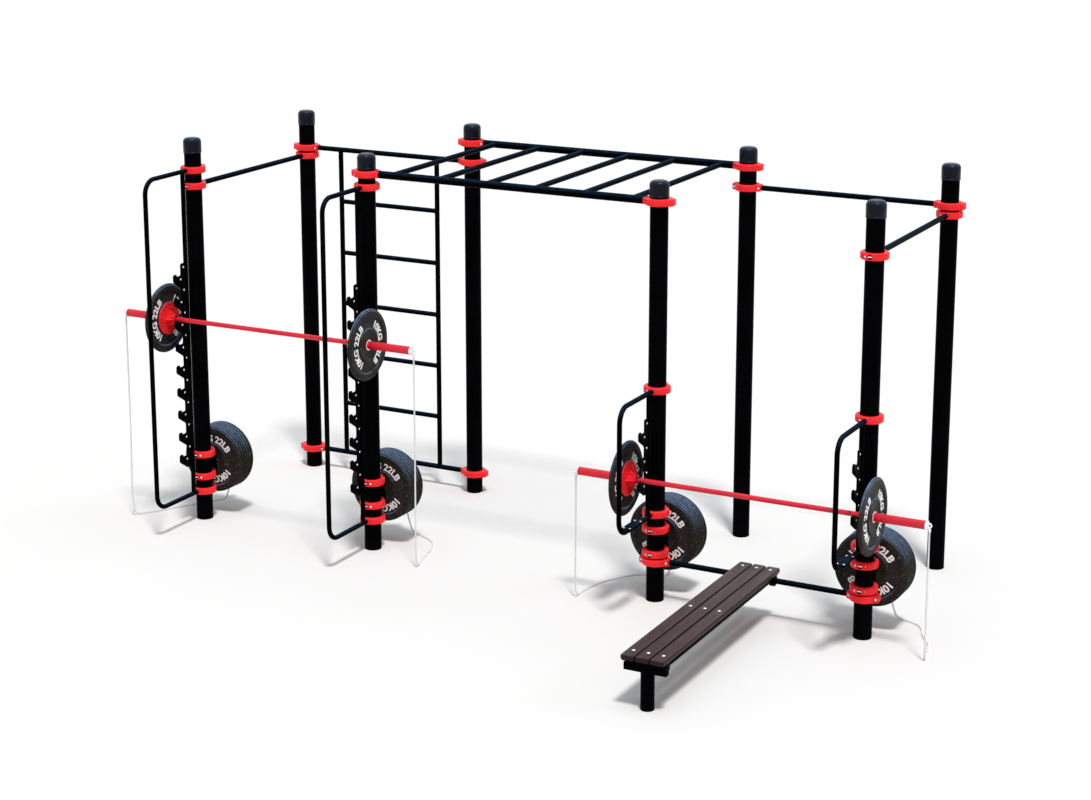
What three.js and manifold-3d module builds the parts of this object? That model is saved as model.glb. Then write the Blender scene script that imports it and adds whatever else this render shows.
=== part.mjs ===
// Outdoor fitness station: two rows of four posts joined by clamped bars, with a wall ladder,
// monkey bars, four barbell racks, two barbells, four stacks of stored plates and a plank bench.
// Lengths are in millimetres and +Z is up. The rows run along X, and a user walks up from -Y.
// The origin lies on the floor at the centre of the bounding box, with the cables left out.
import * as THREE from 'three';
import { mergeVertices } from 'three/addons/utils/BufferGeometryUtils.js';
import Module from 'manifold-3d';

const wasm = await Module();
wasm.setup();

// Posts and caps
const STATION_HEIGHT = 2550;
const POST_DIAMETER = 108;
const SIDE_BAY = 1310;
const MIDDLE_BAY = 1980;
const ROW_DEPTH = 1320;
const CAP_WALL = 4;
const CAP_HEIGHT = 98;
const CAP_DOME_RISE = 32;
const CAP_SEAT_DEPTH = 60;

// Clearances
const FIT = 0.3;
const CLAMP_SPACING = 4;
const CAP_SPACING = 2;
const CUT_OVERRUN = 5;

// Clamps: a ring round the post with an ear on each side, in line with the tube that it carries.
// A clamp that could take a second tube has an empty socket in its front instead of that ear.
const CLAMP_HEIGHT = 50;
const CLAMP_WALL = 27;
const EAR_LENGTH = 17;
const EAR_WIDTH = 66;
const EAR_ROUND = 9;
const SOCKET_DIAMETER = 28;
const SOCKET_DEPTH = 18;

// Tubes
const BAR_DIAMETER = 34;
const RAIL_DIAMETER = 48;
const RUNG_DIAMETER = 32;
const STILE_DIAMETER = 33;
const LOOP_DIAMETER = 30;
const HOOK_POST_DIAMETER = 28;

// Clamped tubes: how far the highest lie below the top of the station, and the levels of the others
const TOP_BAR_DROP = 255;
const TALL_LOOP_DROP = 205;
const TALL_LOOP_FOOT_LEVEL = 200;
const SHORT_LOOP_TOP_LEVEL = 1308;
const SHORT_LOOP_FOOT_LEVEL = 550;
const LADDER_FOOT_LEVEL = 135;
const STORAGE_UPPER_LEVEL = 450;
const STORAGE_LOWER_LEVEL = 300;

// Wall ladder
const LADDER_WIDTH = 760;
const LADDER_RUNGS = 5;

// Monkey bars
const MONKEY_RUNGS = 6;
const MONKEY_PITCH = 325;

// Rack loops
const LOOP_DEPTH = 380;
const LOOP_BEND_RADIUS = 90;
const LOOP_STANDOFF = 13;
const SPOTTER_LENGTH = 190;
const SPOTTER_WIDTH = 60;
const SPOTTER_THICKNESS = 7;
const SPOTTER_SETBACK = 85;

// Hook plates
const TALL_HOOKS = 9;
const TALL_FIRST_HOOK_LEVEL = 455;
const SHORT_HOOKS = 3;
const SHORT_FIRST_HOOK_LEVEL = 760;
const HOOK_PITCH = 150;
const HOOK_PLATE_THICKNESS = 10;
const HOOK_BODY_DEPTH = 30;
const HOOK_SLOT_WIDTH = 48;
const HOOK_FINGER_WIDTH = 31;
const HOOK_SLOT_RISE = 23;
const HOOK_FINGER_HEIGHT = 16;
const HOOK_HEEL_DROP = 10;
const HOOK_ROOT_DROP = 46;
const HOOK_ROUND = 8;
const HOOK_TOP_MARGIN = 100;
const HOOK_BOTTOM_MARGIN = 58;

// Barbells
const BARBELL_LENGTH = 2220;
const SHAFT_DIAMETER = 30;
const SLEEVE_DIAMETER = 50;
const SLEEVE_HUB_LENGTH = 53;
const FLANGE_DIAMETER = 210;
const FLANGE_THICKNESS = 8;
const FLANGE_CLEARANCE = 3;
const SEAT_FROM_LOWEST_TALL = 6;
const SEAT_FROM_LOWEST_SHORT = 0;
const END_COLLAR_LENGTH = 12;
const END_COLLAR_DIAMETER = 54;
const EYE_DIAMETER = 30;
const EYE_HOLE_DIAMETER = 14;
const EYE_THICKNESS = 10;

// Plates
const PLATE_DIAMETER = 450;
const PLATE_THICKNESS = 26;
const PLATE_PLAY = 0.5;
const PLATE_RIM_WIDTH = 44;
const PLATE_HUB_DIAMETER = 205;
const PLATE_RECESS = 3;
const PLATE_HUB_RECESS = 2;
const PLATE_STEP = 6;
const PLATE_EDGE_CROWN = 4;
const STACK_PLATES = 6;

// Storage pegs
const PEG_BRACKET_THICKNESS = 12;
const PEG_BRACKET_WIDTH = 70;
const PEG_TAIL = 84;

// Bench
const BENCH_LENGTH = 1625;
const BENCH_REAR_OVERHANG = 45;
const BENCH_TOP_LEVEL = 315;
const PLANK_COUNT = 3;
const PLANK_WIDTH = 80;
const PLANK_GAP = 7;
const PLANK_THICKNESS = 28;
const PLANK_ROUND = 6;
const STRAP_THICKNESS = 8;
const STRAP_WIDTH = 45;
const RUNNER_WIDTH = 30;
const RUNNER_HEIGHT = 26;
const RUNNER_INSET = 12;
const HEAD_BEAM_LENGTH = 250;
const HEAD_BEAM_HEIGHT = 40;
const HEAD_BEAM_DEPTH = 40;
const HEAD_BEAM_SETBACK = 40;
const BENCH_LEG_DIAMETER = 76;
const BENCH_LEG_SETBACK = 2;
const SADDLE_DIAMETER = 66;

// Cables
const CABLE_DIAMETER = 10;
const CABLE_BEND_RADIUS = 55;
const CABLE_LEAN = 85;

// Facets round each kind of round piece
const POST_SIDES = 16;
const TUBE_SIDES = 8;
const DISC_SIDES = 16;
const BEND_STEPS = 3;
const CABLE_SIDES = 8;
const CABLE_STEPS_PER_POINT = 2;

// Sizes that follow from the ones above
const POST_RADIUS = POST_DIAMETER / 2;
const CLAMP_BORE_RADIUS = POST_RADIUS + FIT;
const CLAMP_RADIUS = POST_RADIUS + CLAMP_WALL;
const EAR_REACH = CLAMP_RADIUS + EAR_LENGTH;
const TUBE_SEAT = POST_RADIUS + CLAMP_WALL / 2;
const POST_TOP = STATION_HEIGHT - CAP_HEIGHT + CAP_SEAT_DEPTH;
const RAIL_LEVEL = STATION_HEIGHT - CAP_HEIGHT - CAP_SPACING - CLAMP_HEIGHT / 2;
const TOP_BAR_LEVEL = STATION_HEIGHT - TOP_BAR_DROP;
const PULL_UP_LEVEL = TOP_BAR_LEVEL - CLAMP_HEIGHT - CLAMP_SPACING;
const LADDER_PITCH = (TOP_BAR_LEVEL - LADDER_FOOT_LEVEL) / (LADDER_RUNGS + 1);
const BENCH_BAR_LEVEL = STORAGE_LOWER_LEVEL - CLAMP_HEIGHT - CLAMP_SPACING / 2;
const COLUMNS = [0, SIDE_BAY, SIDE_BAY + MIDDLE_BAY, 2 * SIDE_BAY + MIDDLE_BAY];
const ROW_LENGTH = COLUMNS.at(-1);

const TALL_LOOP = {
  top: STATION_HEIGHT - TALL_LOOP_DROP,
  bottom: TALL_LOOP_FOOT_LEVEL,
  hooks: TALL_HOOKS,
  firstHook: TALL_FIRST_HOOK_LEVEL,
  spotter: false,
};
const SHORT_LOOP = {
  top: SHORT_LOOP_TOP_LEVEL,
  bottom: SHORT_LOOP_FOOT_LEVEL,
  hooks: SHORT_HOOKS,
  firstHook: SHORT_FIRST_HOOK_LEVEL,
  spotter: true,
};

const HOOK_POST_Y = -(EAR_REACH + LOOP_STANDOFF + HOOK_POST_DIAMETER / 2);
const LOOP_FRONT_Y = HOOK_POST_Y - LOOP_DEPTH;
const HOOK_BACK_Y = HOOK_POST_Y - HOOK_POST_DIAMETER / 2 - FIT;
const HOOK_FACE_Y = HOOK_BACK_Y - HOOK_BODY_DEPTH;
const FINGER_BACK_Y = HOOK_FACE_Y - HOOK_SLOT_WIDTH;
const FINGER_FRONT_Y = FINGER_BACK_Y - HOOK_FINGER_WIDTH;
const SHAFT_Y = HOOK_FACE_Y - HOOK_SLOT_WIDTH / 2;

const FLANGE_START = CLAMP_RADIUS + FLANGE_CLEARANCE;
const FLANGE_END = FLANGE_START + FLANGE_THICKNESS;
const SLEEVE_END = (BARBELL_LENGTH - SIDE_BAY) / 2 - END_COLLAR_LENGTH - EYE_DIAMETER;

const STACK_START = EAR_REACH + PEG_BRACKET_THICKNESS / 2 + FIT;
const STACK_END = STACK_START + STACK_PLATES * PLATE_THICKNESS;
const PEG_END = STACK_END + PEG_TAIL;
const PEG_DIAMETER = SLEEVE_DIAMETER;
const CABLE_FLOOR = CABLE_DIAMETER / 2 + FIT;
const PEG_LEVEL = (STORAGE_UPPER_LEVEL + STORAGE_LOWER_LEVEL) / 2;

const BENCH_X = COLUMNS[2] + SIDE_BAY / 2;
const BENCH_HEAD_Y = BENCH_REAR_OVERHANG - BENCH_LENGTH;
const BENCH_WIDTH = PLANK_COUNT * PLANK_WIDTH + (PLANK_COUNT - 1) * PLANK_GAP;
const PLANK_BOTTOM = BENCH_TOP_LEVEL - PLANK_THICKNESS;

const DEPTH_BACK = ROW_DEPTH + EAR_REACH;
const ORIGIN_X = ROW_LENGTH / 2;
const ORIGIN_Y = (BENCH_HEAD_Y + DEPTH_BACK) / 2;

// Finishes
const FINISHES = {
  powderCoat: { color: 0x111317, roughness: 0.42, metalness: 0.3 },
  capPlastic: { color: 0x262b31, roughness: 0.6, metalness: 0 },
  clampRed: { color: 0xf02a30, roughness: 0.45, metalness: 0.1 },
  barRed: { color: 0xd42c42, roughness: 0.38, metalness: 0.2 },
  rubber: { color: 0x26262a, roughness: 0.75, metalness: 0 },
  plank: { color: 0x45352f, roughness: 0.7, metalness: 0 },
  zinc: { color: 0xb9bdc2, roughness: 0.35, metalness: 0.9 },
  cable: { color: 0xdcdcdc, roughness: 0.55, metalness: 0 },
};

function makeMesh(name, finish, geometry) {
  const mesh = new THREE.Mesh(geometry, new THREE.MeshStandardMaterial(FINISHES[finish]));
  mesh.name = name;
  return mesh;
}

// Solids: each closed shape is merged into one body with its faces turned outwards
function signedVolume(positions, triangles) {
  const corners = [new THREE.Vector3(), new THREE.Vector3(), new THREE.Vector3()];
  let volume = 0;
  for (let start = 0; start < triangles.length; start += 3) {
    corners.forEach((corner, place) => corner.fromArray(positions, 3 * triangles[start + place]));
    volume += corners[0].dot(corners[1].clone().cross(corners[2]));
  }
  return volume;
}

function toSolid(geometry) {
  const bare = geometry.clone();
  bare.deleteAttribute('normal');
  bare.deleteAttribute('uv');
  const merged = mergeVertices(bare, FIT / 100);
  const triangles = [];
  for (let start = 0; start < merged.index.count; start += 3) {
    const [a, b, c] = merged.index.array.subarray(start, start + 3);
    if (a !== b && b !== c && c !== a) triangles.push(a, b, c);
  }
  const positions = merged.attributes.position.array;
  if (signedVolume(positions, triangles) < 0) triangles.reverse();
  return new wasm.Manifold(new wasm.Mesh({
    numProp: 3,
    vertProperties: Float32Array.from(positions),
    triVerts: Uint32Array.from(triangles),
  }));
}

function toGeometry(solid) {
  const { vertProperties, triVerts } = solid.getMesh();
  const geometry = new THREE.BufferGeometry();
  geometry.setAttribute('position', new THREE.BufferAttribute(vertProperties, 3));
  geometry.setIndex(new THREE.BufferAttribute(triVerts, 1));
  const faceted = geometry.toNonIndexed();
  faceted.computeVertexNormals();
  return faceted;
}

function joined(geometries) {
  return geometries.map(toSolid).reduce((whole, piece) => whole.add(piece));
}

function closed(geometry) {
  return toGeometry(toSolid(geometry));
}

// Shapes
function rod(diameter, from, to, sides = TUBE_SIDES) {
  const start = new THREE.Vector3(...from);
  const end = new THREE.Vector3(...to);
  const direction = end.clone().sub(start).normalize();
  const turn = new THREE.Quaternion().setFromUnitVectors(new THREE.Vector3(0, 1, 0), direction);
  const middle = start.clone().lerp(end, 0.5);
  return new THREE.CylinderGeometry(diameter / 2, diameter / 2, start.distanceTo(end), sides)
    .applyQuaternion(turn)
    .translate(...middle);
}

function block(low, high) {
  const size = high.map((value, axis) => value - low[axis]);
  const centre = high.map((value, axis) => (value + low[axis]) / 2);
  return new THREE.BoxGeometry(...size).translate(...centre);
}

// A profile of [radius, distance along the axis] turned about +Z
function revolved(profile, sides) {
  const points = profile.map(([radius, along]) => new THREE.Vector2(radius, along));
  return new THREE.LatheGeometry(points, sides).rotateX(Math.PI / 2);
}

// The radius of a bore with this many flats that stay clear of a round shaft inside it
function boreRadius(shaftDiameter, play, sides) {
  return (shaftDiameter / 2 + play) / Math.cos(Math.PI / sides);
}

function circle(diameter, sides) {
  return Array.from({ length: sides }, (_, step) => {
    const angle = (step / sides) * 2 * Math.PI;
    return new THREE.Vector2(Math.cos(angle), Math.sin(angle)).multiplyScalar(diameter / 2);
  });
}

// A path of straight pieces whose rings stand on its own points, and not at even distances
class BentPath extends THREE.Curve {
  constructor(points) {
    super();
    this.points = points;
  }

  indexAt(share) {
    return Math.round(share * (this.points.length - 1));
  }

  getPoint(share, target = new THREE.Vector3()) {
    return target.copy(this.points[this.indexAt(share)]);
  }

  getSpacedPoints() {
    return this.points.map((point) => point.clone());
  }

  getTangentAt(share, target = new THREE.Vector3()) {
    const index = this.indexAt(share);
    const before = this.points[Math.max(index - 1, 0)];
    const here = this.points[index];
    const after = this.points[Math.min(index + 1, this.points.length - 1)];
    const arriving = here.clone().sub(before).normalize();
    const leaving = after.clone().sub(here).normalize();
    return target.copy(arriving.add(leaving).normalize());
  }
}

function swept(points, diameter, sides) {
  return new THREE.ExtrudeGeometry(new THREE.Shape(circle(diameter, sides)), {
    steps: points.length - 1,
    extrudePath: new BentPath(points),
    bevelEnabled: false,
  });
}

// A quarter of a clamp's outline, from the line of its tube to the side of the ring
function clampQuarter(hasEar) {
  const ringSteps = POST_SIDES / 4;
  const ear = [
    new THREE.Vector2(EAR_REACH, EAR_WIDTH / 2 - EAR_ROUND),
    new THREE.Vector2(EAR_REACH - EAR_ROUND, EAR_WIDTH / 2),
  ];
  const ring = Array.from({ length: ringSteps }, (_, step) => {
    const angle = (step / ringSteps) * (Math.PI / 2);
    return new THREE.Vector2(Math.cos(angle), Math.sin(angle)).multiplyScalar(CLAMP_RADIUS);
  });
  return hasEar ? [...ear, ...ring.slice(ringSteps / 2)] : ring.slice(1);
}

// Clamp: the ring and its ears in plan, pierced for the post
function clamp(level, along, hasFrontEar = true) {
  const rear = clampQuarter(true);
  const front = clampQuarter(hasFrontEar).map((point) => new THREE.Vector2(-point.x, point.y));
  const half = [...rear, new THREE.Vector2(0, CLAMP_RADIUS), ...front.reverse()];
  const otherHalf = half.map((point) => new THREE.Vector2(point.x, -point.y)).reverse();
  const middle = hasFrontEar ? [] : [new THREE.Vector2(-CLAMP_RADIUS, 0)];
  const outline = new THREE.Shape([...half, ...middle, ...otherHalf]);
  outline.holes.push(new THREE.Path(circle(2 * CLAMP_BORE_RADIUS, POST_SIDES)));
  const ring = new THREE.ExtrudeGeometry(outline, { depth: CLAMP_HEIGHT, bevelEnabled: false });
  if (along === 'y') ring.rotateZ(Math.PI / 2);
  return ring.translate(0, 0, level - CLAMP_HEIGHT / 2);
}

// The empty socket in the front of a clamp, where it could take a second tube
function withSockets(solid, levels) {
  const mouth = -(CLAMP_RADIUS + CUT_OVERRUN);
  const floor = SOCKET_DEPTH - CLAMP_RADIUS;
  return levels.reduce(
    (whole, level) => whole.subtract(toSolid(rod(SOCKET_DIAMETER, [0, mouth, level], [0, floor, level]))),
    solid,
  );
}

// Posts
function postGeometry() {
  return closed(rod(POST_DIAMETER, [0, 0, 0], [0, 0, POST_TOP], POST_SIDES));
}

function capGeometry() {
  const radius = CLAMP_BORE_RADIUS + CAP_WALL;
  const shoulder = CAP_HEIGHT - CAP_DOME_RISE;
  const profile = [
    [0, CAP_SEAT_DEPTH + FIT],
    [CLAMP_BORE_RADIUS, CAP_SEAT_DEPTH + FIT],
    [CLAMP_BORE_RADIUS, 0],
    [radius, 0],
  ];
  const domeSteps = 2;
  for (let step = 0; step <= domeSteps; step += 1) {
    const angle = (step / domeSteps) * (Math.PI / 2);
    const flatness = Math.sqrt(Math.cos(angle));
    profile.push([radius * flatness, shoulder + CAP_DOME_RISE * Math.sin(angle)]);
  }
  profile.at(-1)[0] = 0;
  return closed(revolved(profile, POST_SIDES));
}

// Clamped bars: the tube runs from the wall of one clamp to the wall of the next
function clampedBar(span, level, diameter, along) {
  const end = span - TUBE_SEAT;
  const ends = along === 'x'
    ? [[TUBE_SEAT, 0, level], [end, 0, level]]
    : [[0, TUBE_SEAT, level], [0, end, level]];
  const farClamp = clamp(level, along);
  farClamp.translate(along === 'x' ? span : 0, along === 'y' ? span : 0, 0);
  return [clamp(level, along, along === 'x'), farClamp, rod(diameter, ...ends)];
}

function ladderGeometry() {
  const pieces = [
    ...clampedBar(SIDE_BAY, TOP_BAR_LEVEL, BAR_DIAMETER, 'x'),
    ...clampedBar(SIDE_BAY, LADDER_FOOT_LEVEL, BAR_DIAMETER, 'x'),
  ];
  const stiles = [-1, 1].map((side) => (SIDE_BAY + side * LADDER_WIDTH) / 2);
  stiles.forEach((x) => {
    pieces.push(rod(STILE_DIAMETER, [x, 0, LADDER_FOOT_LEVEL], [x, 0, TOP_BAR_LEVEL]));
  });
  for (let rung = 1; rung <= LADDER_RUNGS; rung += 1) {
    const level = TOP_BAR_LEVEL - rung * LADDER_PITCH;
    pieces.push(rod(RUNG_DIAMETER, [stiles[0], 0, level], [stiles[1], 0, level]));
  }
  return toGeometry(joined(pieces));
}

function monkeyBarGeometry() {
  const pieces = [0, ROW_DEPTH].flatMap((y) => {
    const rail = clampedBar(MIDDLE_BAY, RAIL_LEVEL, RAIL_DIAMETER, 'x');
    return rail.map((piece) => piece.translate(0, y, 0));
  });
  for (let rung = 0; rung < MONKEY_RUNGS; rung += 1) {
    const x = MIDDLE_BAY / 2 + (rung - (MONKEY_RUNGS - 1) / 2) * MONKEY_PITCH;
    pieces.push(rod(BAR_DIAMETER, [x, 0, RAIL_LEVEL], [x, ROW_DEPTH, RAIL_LEVEL]));
  }
  return toGeometry(joined(pieces));
}

// Rack: a loop of tube clamped to the front of a post, with an upright that carries the hooks
function loopPoints(loop) {
  const corner = (y, z, startAngle) => Array.from({ length: BEND_STEPS + 1 }, (_, step) => {
    const angle = startAngle + (step / BEND_STEPS) * (Math.PI / 2);
    return new THREE.Vector3(
      0,
      y + LOOP_BEND_RADIUS * Math.cos(angle),
      z + LOOP_BEND_RADIUS * Math.sin(angle),
    );
  });
  const bendY = LOOP_FRONT_Y + LOOP_BEND_RADIUS;
  return [
    new THREE.Vector3(0, -TUBE_SEAT, loop.top),
    ...corner(bendY, loop.top - LOOP_BEND_RADIUS, Math.PI / 2),
    ...corner(bendY, loop.bottom + LOOP_BEND_RADIUS, Math.PI),
    new THREE.Vector3(0, -TUBE_SEAT, loop.bottom),
  ];
}

function rackGeometry(loop) {
  const pieces = [
    clamp(loop.top, 'y'),
    clamp(loop.bottom, 'y'),
    swept(loopPoints(loop), LOOP_DIAMETER, TUBE_SIDES),
    rod(HOOK_POST_DIAMETER, [0, HOOK_POST_Y, loop.bottom], [0, HOOK_POST_Y, loop.top]),
  ];
  if (loop.spotter) {
    const front = LOOP_FRONT_Y + SPOTTER_SETBACK;
    const saddle = loop.bottom + LOOP_DIAMETER / 2 - SPOTTER_THICKNESS / 2;
    pieces.push(block(
      [-SPOTTER_WIDTH / 2, front, saddle],
      [SPOTTER_WIDTH / 2, front + SPOTTER_LENGTH, saddle + SPOTTER_THICKNESS],
    ));
  }
  return toGeometry(joined(pieces));
}

// One hook in side view, from its slot down to its root, about the level of its own bolt
function hookPoints(level) {
  const seat = level + HOOK_SLOT_RISE;
  const tip = seat + HOOK_FINGER_HEIGHT;
  return [
    [HOOK_FACE_Y, seat + HOOK_ROUND],
    [HOOK_FACE_Y - HOOK_ROUND, seat],
    [FINGER_BACK_Y + HOOK_ROUND, seat],
    [FINGER_BACK_Y, seat + HOOK_ROUND],
    [FINGER_BACK_Y - HOOK_ROUND / 2, tip],
    [FINGER_FRONT_Y + HOOK_ROUND, tip],
    [FINGER_FRONT_Y, tip - HOOK_ROUND],
    [FINGER_FRONT_Y, level - HOOK_HEEL_DROP],
    [HOOK_FACE_Y, level - HOOK_ROOT_DROP],
  ];
}

function hookPlateGeometry(loop) {
  const lastHook = loop.firstHook + (loop.hooks - 1) * HOOK_PITCH;
  const outline = [
    [HOOK_BACK_Y, lastHook + HOOK_TOP_MARGIN],
    [HOOK_FACE_Y + HOOK_ROUND, lastHook + HOOK_TOP_MARGIN],
    [HOOK_FACE_Y, lastHook + HOOK_TOP_MARGIN - HOOK_ROUND],
  ];
  for (let hook = 0; hook < loop.hooks; hook += 1) {
    outline.push(...hookPoints(lastHook - hook * HOOK_PITCH));
  }
  outline.push([HOOK_FACE_Y, loop.firstHook - HOOK_BOTTOM_MARGIN]);
  outline.push([HOOK_BACK_Y, loop.firstHook - HOOK_BOTTOM_MARGIN]);
  const shape = new THREE.Shape(outline.map(([y, z]) => new THREE.Vector2(y, z)));
  const plate = new THREE.ExtrudeGeometry(shape, { depth: HOOK_PLATE_THICKNESS, bevelEnabled: false });
  plate.translate(0, 0, -HOOK_PLATE_THICKNESS / 2);
  plate.rotateX(Math.PI / 2).rotateZ(Math.PI / 2);
  return closed(plate);
}

// Plates: a flat rim, a sunk band and a hub disc, on one face of a turned profile
function plateFace(back, outwards) {
  const bore = boreRadius(SLEEVE_DIAMETER, PLATE_PLAY, DISC_SIDES);
  const rim = PLATE_DIAMETER / 2 - PLATE_RIM_WIDTH;
  const hub = PLATE_HUB_DIAMETER / 2;
  return [
    [bore, back - outwards * PLATE_HUB_RECESS],
    [hub, back - outwards * PLATE_HUB_RECESS],
    [hub + PLATE_STEP, back - outwards * PLATE_RECESS],
    [rim - PLATE_STEP, back - outwards * PLATE_RECESS],
    [rim, back],
    [PLATE_DIAMETER / 2 - PLATE_EDGE_CROWN, back],
  ];
}

function plateProfile(count) {
  const edge = [];
  for (let plate = 0; plate < count; plate += 1) {
    if (plate > 0) edge.push([PLATE_DIAMETER / 2 - PLATE_EDGE_CROWN, plate * PLATE_THICKNESS]);
    edge.push([PLATE_DIAMETER / 2, (plate + 0.5) * PLATE_THICKNESS]);
  }
  const front = plateFace(0, -1);
  const back = plateFace(count * PLATE_THICKNESS, 1).reverse();
  return [...front, ...edge, ...back, front[0]];
}

function plateGeometry(count) {
  return closed(revolved(plateProfile(count), DISC_SIDES));
}

// Storage: two clamps, the bracket that joins them and the peg that the plates hang on
function eye(facing) {
  const outline = new THREE.Shape(circle(EYE_DIAMETER, TUBE_SIDES));
  outline.holes.push(new THREE.Path(circle(EYE_HOLE_DIAMETER, TUBE_SIDES)));
  const ring = new THREE.ExtrudeGeometry(outline, { depth: EYE_THICKNESS, bevelEnabled: false });
  ring.translate(0, 0, -EYE_THICKNESS / 2).rotateX(Math.PI / 2);
  return facing === 'x' ? ring.rotateZ(Math.PI / 2) : ring;
}

function storageGeometry() {
  const bracketStart = EAR_REACH - PEG_BRACKET_THICKNESS / 2;
  const eyeY = PEG_END + EYE_DIAMETER / 2 - EYE_THICKNESS / 2;
  const levels = [STORAGE_UPPER_LEVEL, STORAGE_LOWER_LEVEL];
  const whole = joined([
    ...levels.map((level) => clamp(level, 'y', false)),
    block(
      [-PEG_BRACKET_WIDTH / 2, bracketStart, STORAGE_LOWER_LEVEL - CLAMP_HEIGHT / 2],
      [PEG_BRACKET_WIDTH / 2, bracketStart + PEG_BRACKET_THICKNESS, STORAGE_UPPER_LEVEL + CLAMP_HEIGHT / 2],
    ),
    rod(PEG_DIAMETER, [0, EAR_REACH, PEG_LEVEL], [0, PEG_END, PEG_LEVEL], POST_SIDES),
    eye('x').translate(0, eyeY, PEG_LEVEL),
  ]);
  return toGeometry(withSockets(whole, levels));
}

// Barbell: a shaft, two sleeves that turn on it, and a collar with an eye on each end
function shaftGeometry() {
  const end = SIDE_BAY / 2 + SLEEVE_END;
  return closed(rod(SHAFT_DIAMETER, [-end, 0, 0], [end, 0, 0]));
}

function sleeveGeometry() {
  const bore = boreRadius(SHAFT_DIAMETER, FIT, POST_SIDES);
  const radius = SLEEVE_DIAMETER / 2;
  const hubStart = FLANGE_START - SLEEVE_HUB_LENGTH;
  return closed(revolved([
    [bore, hubStart],
    [radius, hubStart],
    [radius, FLANGE_START],
    [FLANGE_DIAMETER / 2, FLANGE_START],
    [FLANGE_DIAMETER / 2, FLANGE_END],
    [radius, FLANGE_END],
    [radius, SLEEVE_END],
    [bore, SLEEVE_END],
    [bore, hubStart],
  ], POST_SIDES).rotateY(Math.PI / 2));
}

function endEyeGeometry() {
  const start = SLEEVE_END + FIT;
  const collar = rod(END_COLLAR_DIAMETER, [start, 0, 0], [start + END_COLLAR_LENGTH, 0, 0], DISC_SIDES / 2);
  const eyeX = start + END_COLLAR_LENGTH + EYE_DIAMETER / 2 - EYE_THICKNESS / 2;
  return toGeometry(joined([collar, eye('y').translate(eyeX, 0, 0)]));
}

// Bench
function plankGeometry() {
  const half = PLANK_WIDTH / 2;
  const outline = new THREE.Shape([
    new THREE.Vector2(-half, 0),
    new THREE.Vector2(half, 0),
    new THREE.Vector2(half, PLANK_THICKNESS - PLANK_ROUND),
    new THREE.Vector2(half - PLANK_ROUND, PLANK_THICKNESS),
    new THREE.Vector2(PLANK_ROUND - half, PLANK_THICKNESS),
    new THREE.Vector2(-half, PLANK_THICKNESS - PLANK_ROUND),
  ]);
  const plank = new THREE.ExtrudeGeometry(outline, { depth: BENCH_LENGTH, bevelEnabled: false });
  return closed(plank.rotateX(Math.PI / 2).translate(0, BENCH_REAR_OVERHANG, 0));
}

function benchFrameGeometry() {
  const strapTop = PLANK_BOTTOM - FIT;
  const strapBottom = strapTop - STRAP_THICKNESS;
  const runnerTop = strapTop - STRAP_THICKNESS / 2;
  const beamTop = runnerTop - RUNNER_HEIGHT;
  const headY = BENCH_HEAD_Y + HEAD_BEAM_SETBACK;
  const legY = headY + BENCH_LEG_SETBACK + BENCH_LEG_DIAMETER / 2;
  const pieces = [
    rod(BENCH_LEG_DIAMETER, [0, legY, 0], [0, legY, beamTop], POST_SIDES),
    block(
      [-HEAD_BEAM_LENGTH / 2, headY, beamTop - HEAD_BEAM_HEIGHT],
      [HEAD_BEAM_LENGTH / 2, headY + HEAD_BEAM_DEPTH, beamTop + STRAP_THICKNESS / 2],
    ),
  ];
  const strapRows = [legY, legY / 2, 0];
  strapRows.forEach((y) => pieces.push(block(
    [-BENCH_WIDTH / 2 + RUNNER_INSET / 2, y - STRAP_WIDTH / 2, strapBottom],
    [BENCH_WIDTH / 2 - RUNNER_INSET / 2, y + STRAP_WIDTH / 2, strapTop],
  )));
  [-1, 1].forEach((side) => {
    const outer = side * (BENCH_WIDTH / 2 - RUNNER_INSET);
    const inner = outer - side * RUNNER_WIDTH;
    const left = Math.min(outer, inner);
    pieces.push(block([left, headY, beamTop], [left + RUNNER_WIDTH, 0, runnerTop]));
    pieces.push(rod(
      SADDLE_DIAMETER,
      [left, 0, BENCH_BAR_LEVEL],
      [left + RUNNER_WIDTH, 0, BENCH_BAR_LEVEL],
      POST_SIDES,
    ));
  });
  const reach = BENCH_WIDTH;
  const barSpace = BAR_DIAMETER + 2 * FIT;
  const barHole = rod(barSpace, [-reach, 0, BENCH_BAR_LEVEL], [reach, 0, BENCH_BAR_LEVEL]);
  return toGeometry(joined(pieces).subtract(toSolid(barHole)));
}

// Cables: each falls from the eye on a bar end, lies on the floor and climbs to the eye of a peg.
// The floor points are picked by hand, about the foot of the post beside it.
const CABLE_FALL_SHARES = [1, 0.93, 0.5];
const CABLE_CLIMB_SHARES = [0.3, 0.65, 0.94, 1];
const CABLE_FLOOR_POINTS = {
  left_1: [[-412, -149], [-362, -64], [-300, 42], [-238, 145], [-184, 240], [-150, 298], [-121, 337]],
  left_2: [
    [424, -145], [400, -70], [377, 20], [358, 95], [336, 170], [298, 240], [240, 292], [180, 325],
    [130, 346],
  ],
  right_3: [
    [-437, -143], [-435, -70], [-427, 10], [-410, 85], [-380, 158], [-342, 226], [-302, 288],
    [-252, 334], [-190, 358], [-133, 361],
  ],
  right_4: [
    [421, -145], [402, -85], [396, -20], [376, 50], [334, 120], [294, 188], [270, 252], [234, 306],
    [184, 338], [132, 352],
  ],
};

// The bend where an upright stretch at x, y meets the floor on its way to the point foot
function cableCorner(x, y, foot) {
  const heelShare = 1 - Math.SQRT1_2;
  return [
    [x, y, CABLE_FLOOR + CABLE_BEND_RADIUS],
    [
      x + (foot[0] - x) * heelShare,
      y + (foot[1] - y) * heelShare,
      CABLE_FLOOR + CABLE_BEND_RADIUS * heelShare,
    ],
  ];
}

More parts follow.
